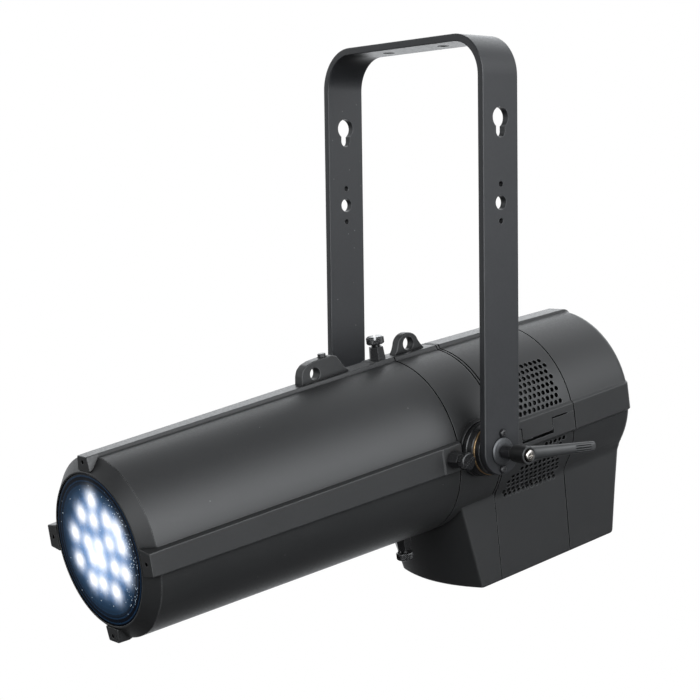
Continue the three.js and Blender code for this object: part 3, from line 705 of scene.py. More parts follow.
def keyhole():
    opening = math.degrees(math.asin(KEY_SLOT / KEY_RADIUS))
    outline = []
    for i in range(41):
        t = math.radians(-90 + opening + (360 - 2 * opening) * i / 40)
        outline.append((KEY_RADIUS * math.cos(t), KEY_Z + KEY_RADIUS * math.sin(t)))
    for i in range(17):
        t = math.radians(180 + 180 * i / 16)
        outline.append((KEY_SLOT * math.cos(t), KEY_Z - KEY_DROP + KEY_SLOT * math.sin(t)))
    return outline


def yoke_bar():
    inner = YOKE_HALF - BAR_THICK - 2
    tools = []
    for start, end in ((inner, YOKE_HALF + 2), (-YOKE_HALF - 2, -inner)):
        for z, radius, segments in LEG_HOLES:
            tools.append(cylinder(radius, start, end, "X", (0, 0, z), segments))
        tools.append(prism(keyhole(), start, end, "X"))
    for x in (-45, 45):
        tools.append(cylinder(6.75, YOKE_TOP - BAR_THICK - 2, YOKE_TOP + 2, "Z", (x, 0, 0), 48))
    return cut(bar_blank(), merge(tools))


piece("yoke_bar", yoke_bar(), YOKE_COAT, "yoke_bracket", from_yoke, bevel=0.45)


# -------------------------------------------------------------------- screws
def cut_cross(mesh, half_width, half_length, start, end, axis, taper=None):
    for across, along in ((half_length, half_width), (half_width, half_length)):
        mesh = cut(mesh, prism(rect(across, -along, along), start, end, axis, taper=taper))
    return mesh


# column order and signs that point a +Z screw head another way
FACING = {"+X": ([2, 0, 1], (1, 1, 1)), "+Y": ([1, 2, 0], (1, 1, 1)),
          "-Y": ([0, 2, 1], (1, -1, 1)), "-Z": ([0, 1, 2], (1, -1, -1))}


def pan_head(radius, height, top, facing, at):
    """Screw head with a cross recess; top is measured from at, along the facing."""
    profile = [(0, top - height), (radius, top - height), (radius, top - height * 0.55),
               (radius * 0.86, top - height * 0.14), (radius * 0.5, top), (0, top)]
    head = lathe(profile, 48, "Z", soft=radius * 0.14)
    head = cut_cross(head, radius * 0.13, radius * 0.55, top - height * 0.55, top + 1, "Z",
                     taper=lambda share: 0.75 + 0.3 * share)
    order, signs = FACING[facing]
    return Mesh(head.points[:, order] * signs, head.faces).shift(at)


# --------------------------------------------------- clamp parts on the legs
DISC = [(6.4, 117.4), (26.2, 117.4), (26.2, 123.7), (6.4, 123.7)]
DOMED_WASHER = [(6.4, 132.3), (14.8, 132.3), (14.8, 133.0), (13.0, 134.0), (9.0, 134.6),
                (6.4, 134.6)]
# stud with a screw head at its outer end: radius, x
STUD = [(0, 97), (5.7, 97), (5.7, 135.2), (7.2, 135.2), (7.2, 148), (5.7, 148), (5.7, 160),
        (2.4, 160), (2.4, 168.6), (6.0, 168.6), (6.0, 172.4), (5.4, 173.6), (3.4, 174), (0, 174)]
LEVER_HUB_PROFILE = [(0, 149.5), (8.0, 149.5), (9.2, 151.5), (9.6, 158), (9.8, 168),
                     (9.3, 171.4), (0, 171.4)]
# lever arm, a superellipse at each station: y, x, z, half x, half z, exponent
ARM = [(1.0, 161.0, 0, 8.2, 8.5, 2.2), (8, 162.2, 0.1, 7.4, 8.2, 2.2),
       (14, 163.4, 0.3, 6.5, 7.7, 2.2), (22, 165.2, 0.5, 5.7, 7.1, 2.25),
       (30, 167, 0.7, 5.2, 6.6, 2.3), (48, 170.9, 1.1, 5.0, 6.1, 2.4),
       (62, 174.0, 1.4, 4.8, 5.8, 2.6), (76, 177.2, 1.7, 4.6, 5.7, 3.0),
       (84.4, 179.0, 1.8, 4.45, 5.6, 3.4), (86.3, 179.4, 1.85, 4.15, 5.3, 3.4),
       (87.0, 179.5, 1.85, 3.5, 4.6, 3.4)]
# grip groove: y, depth, half width
GROOVE = [(61.5, 0.12, 0.3), (63.2, 1.1, 0.72), (80.6, 1.1, 0.72), (82.2, 0.12, 0.3)]


def arm_ring(y, x, z, half_x, half_z, exponent):
    points = []
    for i in range(40):
        cos, sin = math.cos(2 * math.pi * i / 40), math.sin(2 * math.pi * i / 40)
        points.append((x + half_x * math.copysign(abs(cos) ** (2 / exponent), cos), y,
                       z + half_z * math.copysign(abs(sin) ** (2 / exponent), sin)))
    return points


def grip_groove(rise, cheek):
    """Diamond-section cutter along the grip; cheek is 1 outside, -1 inside."""
    rings = []
    for y, depth, half in GROOVE:
        x = 173.9 + (y - 61.5) * 0.222 + cheek * 4.62
        z = 1.4 + (y - 61.5) * 0.019 + rise
        rings.append([(x - depth, y, z), (x, y, z + half), (x + depth, y, z), (x, y, z - half)])
    return loft(rings)


def clamp_lever():
    """Flared hub and a waisted arm with three grooves in each cheek of the grip."""
    lever = join(lathe(LEVER_HUB_PROFILE, 72, "X", soft=0.6),
                 loft([arm_ring(*station) for station in ARM]))
    lever = cut(lever, merge([grip_groove(rise, cheek)
                              for rise in (-2.7, 0.0, 2.7) for cheek in (1, -1)]))
    return cut(lever, cylinder(7.6, 148, 162.8, "X", segments=56),
               cylinder(3.0, 162, 169, "X"),
               lathe([(0, 164.2), (6.9, 164.2), (7.5, 172.5), (0, 172.5)], 64, "X"))


def second_material(obj, material, chosen):
    """Gives a second material to the faces whose centre (in metres) is chosen."""
    obj.data.materials.append(material)
    for face in obj.data.polygons:
        if chosen(face.center):
            face.material_index = 1


def on_lever_hub(centre):
    x, y = abs(centre.x), centre.y
    near = x < 0.1709 and math.hypot(y, centre.z + DROP / 1000) < 0.0101
    return near and not (y > 0.0070 and x > 0.156)


for side in ("right", "left"):
    screw_holes = merge([cylinder(2.5, 116, 125, "X", (0, 0, z), 20)
                         for z in (PLATE_SCREW, -PLATE_SCREW)])
    side_piece(side, "friction_disc_{}", cut(lathe(DISC, 96, "X", soft=0.5), screw_holes),
               BLACK_STEEL, "friction_plate_{}")
    side_piece(side, "domed_washer_{}", lathe(DOMED_WASHER, 72, "X", soft=0.35), WASHER,
               "clamp_washer_{}")
    for z, level in ((PLATE_SCREW, "upper"), (-PLATE_SCREW, "lower")):
        screw = join(pan_head(4.1, 2.6, 134.9, "+X", (0, 0, z)),
                     cylinder(2.1, 120, 132.6, "X", (0, 0, z), 24))
        side_piece(side, "pan_screw_{}_" + level, screw, SCREW, "plate_screw_{}_" + level)
    stud = cut_cross(lathe(STUD, 64, "X", soft=0.5), 0.65, 2.9, 172.6, 176, "X")
    stud = side_piece(side, "stud_{}", stud, STEEL, "clamp_stud_{}")
    second_material(stud, SCREW, lambda centre: not abs(centre.x) >= 0.160)
    lever = side_piece(side, "lever_{}", clamp_lever(), LEVER, "clamp_lever_{}", angle=40)
    second_material(lever, LEVER_HUB, on_lever_hub)

# ------------------------------------------------------------- head sections
BOX_TOP, BOX_LOW = -64.5, -166.0
BOX_HEIGHT = BOX_TOP - BOX_LOW
BOX_TAPER = 5         # each side draws in from top to bottom
BOX_RAKE = 20         # front and back slope inwards from top to bottom
BOX_BOW = 12.5        # bulge of the box's front in its middle
BOX_JOINT = 34.6      # rear end of the front casting
CAVITY_LOW = BOX_LOW + 7
BACK = 245.0          # rear face above the box
BACK_STEP = 2.4       # step forwards at the top of the sloped back
LIP = 1.8             # inset at the casting's joints


def box_share(z):
    """0 at the top of the box, 1 at its bottom."""
    return (BOX_TOP - z) / BOX_HEIGHT


def box_half(z):
    return 72 - BOX_TAPER * box_share(z)


def box_front(z):
    return -14.5 + BOX_RAKE * box_share(z)


def back_at(z):
    if z >= BOX_TOP:
        return BACK
    return BACK - BACK_STEP * min(1, (BOX_TOP - z) / 8) - BOX_RAKE * box_share(z)


def half_section(radius, rail=None, band=None, with_box=True, inset=0.0, low=BOX_LOW):
    """Half outline on +X in (x, z), from the top down.

    rail: half top, half foot, height. band: half width, top, bottom.
    """
    radius -= inset
    points = []
    start = 0.0

    def on_circle(angle):
        return radius * math.sin(angle), radius * math.cos(angle)

    def tangent(angle):
        return math.cos(angle), -math.sin(angle)

    def arc(start, end, steps):
        points.extend(on_circle(start + (end - start) * i / steps) for i in range(1, steps))

    if rail:
        half_top, half_foot, top = rail
        top -= inset
        crest = np.array([half_top, top])
        foot = np.array([half_foot, math.sqrt(radius * radius - half_foot * half_foot)])
        start = math.asin(half_foot / radius)
        points += [(0.0, top), (half_top * 0.5, top)]
        points += corner(crest, (1, 0), foot - crest, 1.0, 3)
        points += corner(foot, foot - crest, tangent(start), 0.9, 3)
        start += 0.9 / radius
    else:
        points.append((0.0, radius))
    if band:
        half, top, bottom = band
        half -= inset
        upper, lower = math.acos((top + 2.3) / radius), math.acos((bottom - 2.0) / radius)
        tips = np.array([(radius * math.sin(upper), top + 2.3), (half, top), (half, bottom),
                         (radius * math.sin(lower), bottom - 2.0)])
        ways = [tangent(upper), *np.diff(tips, axis=0), tangent(lower)]
        arc(start, upper - 1.0 / radius, 36)
        for i, reach in enumerate((1.0, 0.9, 0.8, 0.9)):
            points += corner(tips[i], ways[i], ways[i + 1], reach, 3)
        start = lower + 0.9 / radius
    if not with_box:
        arc(start, math.pi, 80)
        points.append((0.0, -radius))
        return np.array(points)
    # settle on the height where the tapering box meets the circle
    z = BOX_TOP
    for _ in range(20):
        z = -math.sqrt(radius * radius - (box_half(z) - inset) ** 2)
    meet = math.acos(z / radius)
    blend = 7.5
    down = (-BOX_TAPER / BOX_HEIGHT, -1)
    arc(start, meet - blend / radius, 24 if band else 60)
    points += corner((radius * math.sin(meet), z), tangent(meet), down, blend, 6)
    low += inset
    half = box_half(low) - inset
    points.append((box_half(-110) - inset, -110.0))
    points += corner((half, low), down, (-1, 0), 2.6, 4)
    points += [(half * 0.5, low), (0.0, low)]
    return np.array(points)


def full_ring(half, y):
    return np.insert(np.vstack([half, half[-2:0:-1] * (-1, 1)]), 1, y, axis=1)


def shell_ring(y, inset, lower=True):
    """Outer ring of the head with its top rail; lower adds the side bands and the box."""
    radius = float(np.interp(y, [-30.1, 35, 146.2, 236, 245], [98.2, 97.2, 97.2, 95.8, 95.6]))
    rail = (12.4, 14.3, float(np.interp(y, [-30, 35, 146, 240], [101.3, 100.8, 99.4, 97.7])))
    band = (float(np.interp(y, [35, 146, 238], [99.6, 99.2, 97.0])), 13.5, -17.0)
    return full_ring(half_section(radius, rail, band if lower else None, lower, inset), y)


def cavity_ring(y, radius, inset, beyond):
    """Inner ring; box walls further out than beyond are drawn in by the wall's thickness."""
    ring = full_ring(half_section(radius, inset=inset, low=CAVITY_LOW), y)
    wall = (ring[:, 2] < -60) & (np.abs(ring[:, 0]) > beyond)
    ring[wall, 0] -= np.sign(ring[wall, 0]) * 3.2
    return ring


def stations(start, end, groove=None):
    """(y, inset) along a casting with a lip at both ends and perhaps a fine groove."""
    out = [(start, LIP), (start + 0.6, LIP), (start + 0.8, 0.0)]
    if groove:
        out += [(groove - 0.95, 0.0), (groove - 0.7, 2.0), (groove + 0.7, 2.0),
                (groove + 0.95, 0.0)]
    return out + [(end - 0.8, 0.0), (end - 0.6, LIP), (end, LIP)]


def bowed_edge(half, front, count):
    """(x, y) along the bowed front of the box."""
    return [(x, front - BOX_BOW * (1 - (x / half) ** 2)) for x in np.linspace(-half, half, count)]


def box_ring(z, inset=0.0, flare=0.0):
    """Level outline of the box's front part."""
    half, front = box_half(z) - inset + flare, box_front(z) + inset
    rounded = corner((half, front), (1.0, 2 * BOX_BOW / half), (0, 1), 2.6, 4)
    outline = bowed_edge(half, front, 29)[1:-1] + rounded
    outline += [(half, BOX_JOINT), (-half, BOX_JOINT)] + [(-x, y) for x, y in rounded[::-1]]
    return np.array([(x, y, z) for x, y in outline])


def box_tool(inset, levels):
    """Cutter shaped like the box, run out at the rear; levels: outline's z, z it is put at."""
    rings = []
    for outline_z, z in levels:
        ring = box_ring(outline_z, inset)
        ring[:, 2] = z
        ring[np.abs(ring[:, 1] - BOX_JOINT) < 1e-6, 1] = 45
        rings.append(ring)
    return loft(rings)


def cover_recess(start, end):
    return prism(rect(64, BOX_LOW - 4, BOX_LOW + 3.6), start, end, "Y")


def floor_opening(start, end):
    return box(50, start, end, BOX_LOW - 1, BOX_LOW + 12)


def eye_hole(mouth, throat, half_throat, half_length, at, soft):
    """Cutter along X, flared at both ends."""
    profile = [(0, -half_length), (mouth, -half_length), (throat, -half_throat),
               (throat, half_throat), (mouth, half_length), (0, half_length)]
    return lathe(profile, 56, "X", at, soft)


# ------------------------------------------------------------- front casting
# box at the front casting: z, inset, flare
BOX_LEVELS = [(BOX_LOW, 2.4, 0.0), (BOX_LOW + 0.35, 1.2, 0.0), (BOX_LOW + 1.2, 0.35, 0.0),
              (BOX_LOW + 2.4, 0, 0.0), (-110, 0, 0.0), (-72, 0, 0.0), (-66.5, 0, 0.25),
              (-63.8, 0, 0.9), (-55, 0, 0.9)]
SIDE_BOSS = [(0, 80), (31.2, 80), (31.0, 92), (30.2, 94.5), (30, 101), (0, 101)]


def top_eye():
    """Arch on a spread foot, on top of the casting."""
    arch = []
    for i in range(33):
        angle = math.pi - math.pi * i / 32
        arch.append((-2 + 15.2 * math.cos(angle), 108.6 + 13.4 * math.sin(angle)))
    outline = [(-24.5, 97.0), (-23.0, 101.6), (-19.4, 106.0)] + arch[2:-2]
    outline += [(16.0, 106.0), (19.6, 101.9), (21.5, 97.0)]
    return prism(soften(outline, 1.2, 2), -5.2, 5.2, "X", bevel=1.5, steps=4)


def front_casting():
    rings = [shell_ring(y, inset, lower=False)
             for y, inset in stations(-30.1, BOX_JOINT, groove=30.9)]
    mesh = join(loft(rings, mirror_caps=True), loft([box_ring(*row) for row in BOX_LEVELS]))
    boss = lathe(SIDE_BOSS, 96, "X", soft=0.7)
    mesh = join(mesh, boss)
    mesh = join(mesh, boss.mirror_x())
    mesh = cut(mesh, box(112, -36, -30.15, -28, 28))
    mesh = join(mesh, top_eye())
    mesh = cut(mesh, eye_hole(8.9, 6.8, 3.6, 8, (0, -2, 109.8), soft=0.8))
    mesh = cut(mesh, cylinder(92, -40, 40, segments=128),
               box_tool(3.6, ((CAVITY_LOW, CAVITY_LOW), (BOX_TOP, BOX_TOP + 14))))
    mesh = cut(mesh, cylinder(6.3, 80, 103, "X", segments=40),
               cylinder(6.3, -103, -80, "X", segments=40))
    recess = box_tool(3.3, ((BOX_LOW, BOX_LOW - 4), (BOX_LOW, BOX_LOW + 3.6)))
    return cut(mesh, recess, floor_opening(14, 27))


piece("front_casting", front_casting(), COAT, "front_housing", angle=30)

# -------------------------------------------------------------- vent section
VENT_PITCH = 7.0
# where each lower row of holes may begin
LOWER_STARTS = [51.4, 48.9, 53.9, 51.5, 55.7, 67.7, 78.0, 89.0, 100.0]
# outlines (y, z) that part the section into its interlocking shells
UPPER_PART = [
    (33, 5.5), (61.8, 5.5), (62.6, 4.7), (62.6, -7.3), (63.8, -8.5), (108.4, -8.5),
    (109.6, -7.3), (109.6, 4.9), (110.4, 5.7), (134.5, 5.7), (135.0, 5.2), (135.0, 4.75),
    (148, 4.75), (148, 140), (33, 140)]
LOWER_PART = [
    (33, 4.5), (61.3, 4.5), (61.3, -11.2), (62.1, -12), (109.9, -12), (110.7, -11.2),
    (110.7, 4.1), (135.0, 4.1), (135.0, 4.5), (148, 4.5), (148, -172), (33, -172)]


def vent_hole(angle, y, blind, aim, radius):
    """Cutter at an angle from the top in degrees, aimed at its own angle; blind ones stop short."""
    x = 97.2 * math.sin(math.radians(angle))
    z = 97.2 * math.cos(math.radians(angle))
    if angle > 131.2:
        x = box_half(z)
    centre = np.array([x, y, z])
    way = np.array([math.sin(math.radians(aim)), 0, math.cos(math.radians(aim))])
    along = np.array([0, 1.0, 0])
    across = np.cross(way, along)
    mouth = radius + 0.38
    turns = [2 * math.pi * k / 16 for k in range(16)]
    return loft([
        [centre + way * level + size * (math.cos(t) * along + math.sin(t) * across)
         for t in turns]
        for level, size in ((-2.3 if blind else -9.0, radius), (-0.42, radius), (0.12, mouth),
                            (5.0, mouth))])


def upper_holes():
    holes = []
    for i in range(8):
        angle = 48.2 + 4.32 * i
        y = 130.4 if i % 2 else 126.9
        while y > 56.5:
            blind = y < 108 and not (y < 86 - (7 - i) * 3.4 and angle > 60)
            holes.append(vent_hole(angle, y, blind, angle, 2.62))
            y -= VENT_PITCH
    return holes


def lower_holes():
    holes = []
    for j, start in enumerate(LOWER_STARTS):
        angle = 136.6 - 4.1 * j
        base = 51.4 + 1.07 * j - (3.5 if j % 2 else 0)
        y = base + VENT_PITCH * max(0, math.ceil((start - 1.5 - base) / VENT_PITCH))
        while y < 132.2:
            blind = j <= 2 and 84 + 3 * j < y < 111 + 3 * j
            holes.append(vent_hole(angle, y, blind, 92.5 + (angle - 92.5) * 0.72, 2.5))
            y += VENT_PITCH
    return holes


def both_sides(meshes):
    return merge([half for mesh in meshes for half in (mesh, mesh.mirror_x())])


def vent_section():
    mesh = loft([shell_ring(y, inset) for y, inset in stations(35.0, 145.8)], mirror_caps=True)
    cavity = [cavity_ring(y, 93.0, 0, beyond=40) for y in (30.0, 150.0)]
    mesh = cut(mesh, loft(cavity, mirror_caps=True))
    mesh = cut(mesh, cover_recess(30.0, 150.0), floor_opening(45, 136))
    return cut(mesh, both_sides(upper_holes()), both_sides(lower_holes()))


vents = vent_section()
vent_parts = [boolean(vents, [prism(outline, -140, 140, "X")], "INTERSECT")
              for outline in (UPPER_PART, LOWER_PART)]
for level, mesh in zip(("upper", "lower"), vent_parts):
    piece("vent_section_" + level, mesh, COAT, "vent_shell_" + level, angle=30)

# ------------------------------------------------------------------ rear cap
CAP_FRONT = 146.2
KEY_XS = (-27, -9, 9, 27)
KEY_ROW = -14         # z of the keys and the breather plug
PLUG_X = 46
SOCKET_ROW = -112     # z of the sockets in the sloped back
SOCKETS = ((-36, "power_in_socket"), (-12, "data_in_socket"), (12, "data_out_socket"),
           (36, "power_out_socket"))


def raked(ring, front):
    """Stretches a ring along y so that the casting's far end follows the sloped back."""
    ring[:, 1] = [front + (y - front) * (back_at(z) - front) / (BACK - front)
                  for _, y, z in ring]
    return ring


def on_back(mesh, x, z, out):
    """Puts a shape built along +y about the origin square on the sloped back."""
    slope = math.atan(BOX_RAKE / BOX_HEIGHT)
    normal = np.array([0, math.cos(slope), -math.sin(slope)])
    turned = Mesh(pitch(mesh.points, -slope), mesh.faces)
    return turned.shift(np.array([x, back_at(z), z]) + normal * out)


def rear_casting():
    levels = [(CAP_FRONT, 1.4), (146.56, 1.4), (146.8, 0.0), (190, 0), (236.0, 0.0)]
    for k in range(1, 9):
        turn = k / 8 * math.pi / 2
        levels.append((236 + 9 * math.sin(turn), 7.4 * (1 - math.cos(turn))))
    mesh = loft([raked(shell_ring(y, inset), CAP_FRONT) for y, inset in levels],
                mirror_caps=True)
    cavity = [raked(cavity_ring(y, 92.6, inset, beyond=30), 140)
              for y, inset in ((140.0, 0.0), (226, 0.0), (236.5, 5.0))]
    mesh = cut(mesh, loft(cavity, mirror_caps=True))
    mesh = cut(mesh, cover_recess(140.0, 218.0), floor_opening(156, 200))
    window = soften(rect(24.4, 9.6, 36.4), 2.0, 3)
    surround = soften(rect(27.5, 6.6, 39.4), 3.5, 4)
    for outline, start, end in ((window, 230, 250), (surround, 244.4, 250),
                                (surround, 230, 241.1)):
        mesh = cut(mesh, prism(outline, start, end, "Y"))
    for x in KEY_XS:
        at = (x, 0, KEY_ROW)
        mesh = cut(mesh, cylinder(5.4, 230, 250, "Y", at, 40),
                   cylinder(6.8, 244.5, 250, "Y", at, 40), cylinder(7.2, 230, 240.7, "Y", at, 40))
    mesh = cut(mesh, cylinder(4.4, 230, 250, "Y", (PLUG_X, 0, KEY_ROW)))
    for x, _ in SOCKETS:
        mesh = cut(mesh, on_back(cylinder(9.4, -10, 10, segments=48), x, SOCKET_ROW, 0))
    return mesh


piece("rear_casting", rear_casting(), COAT, "rear_cap", angle=30)

# --------------------------------------------------------------- under cover
COVER_GAP = 3.9       # inset from the box's outline
COVER_SCREWS = ((-57, 18), (57, 18), (-57, 112), (57, 112), (-57, 208), (57, 208))


def under_cover():
    half, front = box_half(BOX_LOW) - COVER_GAP, box_front(BOX_LOW) + COVER_GAP
    rear = back_at(BOX_LOW) - COVER_GAP - 2.2
    outline = bowed_edge(half, front, 25)
    outline += [(half, rear - 6), (half - 6, rear), (-half + 6, rear), (-half, rear - 6)]
    mesh = prism(soften(outline, 0.4, 1), BOX_LOW + 0.2, BOX_LOW + 3.4, "Z", bevel=0.5)
    sink = [(0, BOX_LOW - 1), (4.6, BOX_LOW - 1), (4.4, BOX_LOW + 1.2), (0, BOX_LOW + 1.2)]
    for x, y in COVER_SCREWS:
        mesh = cut(mesh, cylinder(2.2, BOX_LOW - 2, BOX_LOW + 6, "Z", (x, y, 0), 24),
                   lathe(sink, 32, "Z", (x, y, 0)))
    return mesh


piece("under_cover", under_cover(), COAT, "bottom_cover", angle=30)
for i, (x, y) in enumerate(COVER_SCREWS):
    screw = join(pan_head(3.9, 1.6, 0.0, "-Z", (x, y, BOX_LOW - 0.45)),
                 cylinder(1.9, BOX_LOW + 0.6, BOX_LOW + 9, "Z", (x, y, 0), 20))
    piece(f"cover_screw_{i + 1}", screw, SCREW, body="head")

# -------------------------------------------------- pivot hubs on the head
HUB = [(6.3, 101.4), (28.6, 101.4), (29, 102.0), (29, 106.6), (28.0, 107.2), (28.0, 108.0),
       (28.5, 108.4), (27.6, 113.8), (27.0, 114.6), (6.3, 114.6)]
HUB_WASHER = [(6.3, 115.0), (26.9, 115.0), (26.9, 117.0), (6.3, 117.0)]

for side in ("right", "left"):
    side_piece(side, "hub_{}", lathe(HUB, 120, "X", soft=0.35), BLACK_STEEL, "pivot_hub_{}",
               from_head)
    side_piece(side, "copper_washer_{}", lathe(HUB_WASHER, 120, "X", soft=0.25), BRONZE,
               "friction_washer_{}", from_head)

# ---------------------------------------------------------------- rear panel
KEY_CAP = [(0, 238.6), (6.4, 238.6), (6.4, 240.2), (5.0, 240.2), (5.0, 245.6), (4.3, 246.4),
           (2.0, 246.2), (0, 246.1)]
PLUG = [(0, 236), (4, 236), (4, 245.3), (7, 245.3), (7, 247.6), (6.2, 248.4), (3.2, 248.4),
        (2.8, 247.8), (0, 247.8)]

display = join(prism(soften(rect(24, 10, 36), 1.8, 3), 241.6, 245.2, "Y", bevel=0.5),
               prism(soften(rect(27, 7, 39), 2, 3), 238.2, 240.7, "Y"),
               box(20, 240.5, 241.8, 12, 34))
piece("display_glass", display, DISPLAY, "display_window")
for i, x in enumerate(KEY_XS):
    piece(f"key_{i + 1}", lathe(KEY_CAP, 56, "Y", (x, 0, KEY_ROW), soft=0.4), PLASTIC,
          f"menu_button_{i + 1}")


def plug_ripple(angle, radius, along):
    return 0.18 * math.cos(14 * angle) if radius > 6.4 and along > 245.5 else 0


piece("breather_plug",
      lathe(PLUG, 56, "Y", (PLUG_X, 0, KEY_ROW), soft=0.3, ripple=plug_ripple),
      PLASTIC, "pressure_vent_plug")


def socket(power):
    """Round socket with its pins: three in a power socket, five thin ones in a data socket."""
    flange, pin = (11.4, 1.5) if power else (10.2, 0.8)
    pin_angles = (90, 210, 330) if power else (90, 162, 234, 306, 18)
    notches, half_notch = ((45, 225), 1.4) if power else ((0,), 1.0)
    mesh = lathe([(0, -19.3), (8.9, -19.3), (8.9, 0.3), (flange, 0.3), (flange, 2.4),
                  (flange - 0.9, 3.3), (8.3, 3.3), (7.7, 2.6), (7.5, -7.0), (0, -7.0)],
                 72, soft=0.4)
    for angle in map(math.radians, pin_angles):
        at = (3.2 * math.cos(angle), 0, 3.2 * math.sin(angle))
        mesh = join(mesh, cylinder(pin, -7.5, -1.2, "Y", at, 20, soft=0.3))
    for angle in notches:
        mesh = cut(mesh, box(half_notch, -6, 4, 7.0, 8.6).turn(angle))
    return mesh


for x, node in SOCKETS:
    mesh = on_back(socket(node.startswith("power")), x, SOCKET_ROW, 0.3)
    piece(node + "_body", mesh, PLASTIC, node)
for i, (x, z) in enumerate(((-62, 52), (62, 52), (-74, -34), (74, -34))):
    screw = join(pan_head(3.6, 1.8, 246.4, "+Y", (x, 0, z)),
                 cylinder(2.0, 240.5, 244.9, "Y", (x, 0, z), 20))
    piece(f"cap_screw_{i + 1}", screw, SCREW, body="head")

# ----------------------------------------------------------------- lens tube
TUBE_FRONT, TUBE_REAR = -399.7, -30.7
TUBE_MOUTH = -404.5
PAD_RADIUS = 87.8     # bezel screws from the lens axis
LOCK_Y = -43.5        # lock plungers
LUG_BOLT_Y = -118
# outer rings of the tube: y, inset, extra height of the ribs
TUBE_STATIONS = [
    (-404.75, 0.25, 0.0), (TUBE_MOUTH, 0.0, 0.0), (-330, 0.0, 0.0), (-260, 0.0, 0.0),
    (-190, 0.0, 0.0), (-120, 0.0, 0.0), (-80, 0.0, 0.0), (-57.2, 0.0, 0.0), (-56.2, 0.0, 0.85),
    (-55.4, 0.0, 1.0), (-40, 0.0, 0.8), (TUBE_REAR - 0.5, 0.0, 0.7),
    (TUBE_REAR - 0.1, 0.3, 0.7), (TUBE_REAR, 0.6, 0.7)]
# bore, from the rear forwards: radius, y
TUBE_BORE = [(92.3, TUBE_REAR), (92.3, -170), (87.5, -178), (87.5, -404.75)]
# screw pads at the mouth: y, base half width beyond the pad's, base height,
# face half width beyond the pad's, face height beyond the pad's, corner radius
PAD_STATIONS = [
    (-417.0, 1.8, 79.2, -0.7, -1.0, 1.2), (-416.7, 2.0, 79.0, -0.25, -0.5, 1.3),
    (-416.2, 2.1, 78.9, 0.0, -0.3, 1.2), (TUBE_MOUTH, 3.9, 86.0, 0.03, 0.08, 0.7),
    (-399.0, 3.2, 85.0, -0.8, -0.9, 0.7)]
# lug on top of the tube: y, z
LUG = [(-154.5, 94), (-153.4, 101), (-152.2, 108), (-149.6, 113.8), (-144, 118.2),
       (-135, 120.5), (-124, 121.2), (-108.5, 121.2), (-103.6, 119.4), (-100.2, 115.2),
       (-94.4, 105.2), (-90.0, 102.0), (-86.0, 94)]


def tube_radius(y):
    return 91.6 + 6.6 * (y - TUBE_FRONT) / (TUBE_REAR - TUBE_FRONT)


def tube_quarter(radius, near, far):
    """(x, z) from the middle of the top rib to that of the +X rib; ribs: height, half width."""
    (height, half), (far_height, far_half) = near, far
    foot, far_foot = half + 1.9, far_half + 1.9
    crest = np.array([half, height])
    base = np.array([foot, math.sqrt(radius * radius - foot * foot)])
    start, rest = math.asin(foot / radius), math.asin(far_foot / radius)
    gap = 0.8 / radius
    points = [(0.0, height), (half * 0.5, height)]
    points += corner(crest, (1, 0), base - crest, 0.6, 3)
    points += corner(base, base - crest, (math.cos(start), -math.sin(start)), 0.6, 3)
    for i in range(1, 36):
        angle = start + gap + (math.pi / 2 - start - rest - 2 * gap) * i / 36
        points.append((radius * math.sin(angle), radius * math.cos(angle)))
    base = np.array([math.sqrt(radius * radius - far_foot * far_foot), far_foot])
    crest = np.array([far_height, far_half])
    points += corner(base, (math.sin(rest), -math.cos(rest)), crest - base, 0.6, 3)
    points += corner(crest, crest - base, (0, -1), 0.6, 3)
    return np.array(points + [(far_height, far_half * 0.5)])


def tube_ring(y, inset, pad):
    """A low rib on top, broad ribs at the sides and hardly any below."""
    share = (y + 400) / (400 - 30.4)
    radius = tube_radius(y) - inset
    top = (radius + 2.6 + 0.3 * share + pad, 8.8 + 3.0 * share)
    side = (96.8 + 5.7 * share - inset + pad, 11.4 + 2.6 * share)
    low = (radius + 0.5 + pad, 8.8 + 3.0 * share)
    quarters = []
    for turns, ribs in enumerate(((top, side), (side, low), (low, side), (side, top))):
        quarter = tube_quarter(radius, *ribs)
        for _ in range(turns):
            quarter = np.stack([quarter[:, 1], -quarter[:, 0]], 1)
        quarters.append(quarter)
    return np.insert(np.vstack(quarters), 1, y, axis=1)


def mouth_pad(half, height):
    rings = []
    for y, base_extra, base_height, face_extra, rise, rounding in PAD_STATIONS:
        base, face, top = half + base_extra, half + face_extra, height + rise
        outline = [(-base, base_height), (base, base_height), (face, top), (-face, top)]
        rings.append([(x, y, z) for x, z in soften(outline, rounding, 4)])
    return loft(rings)


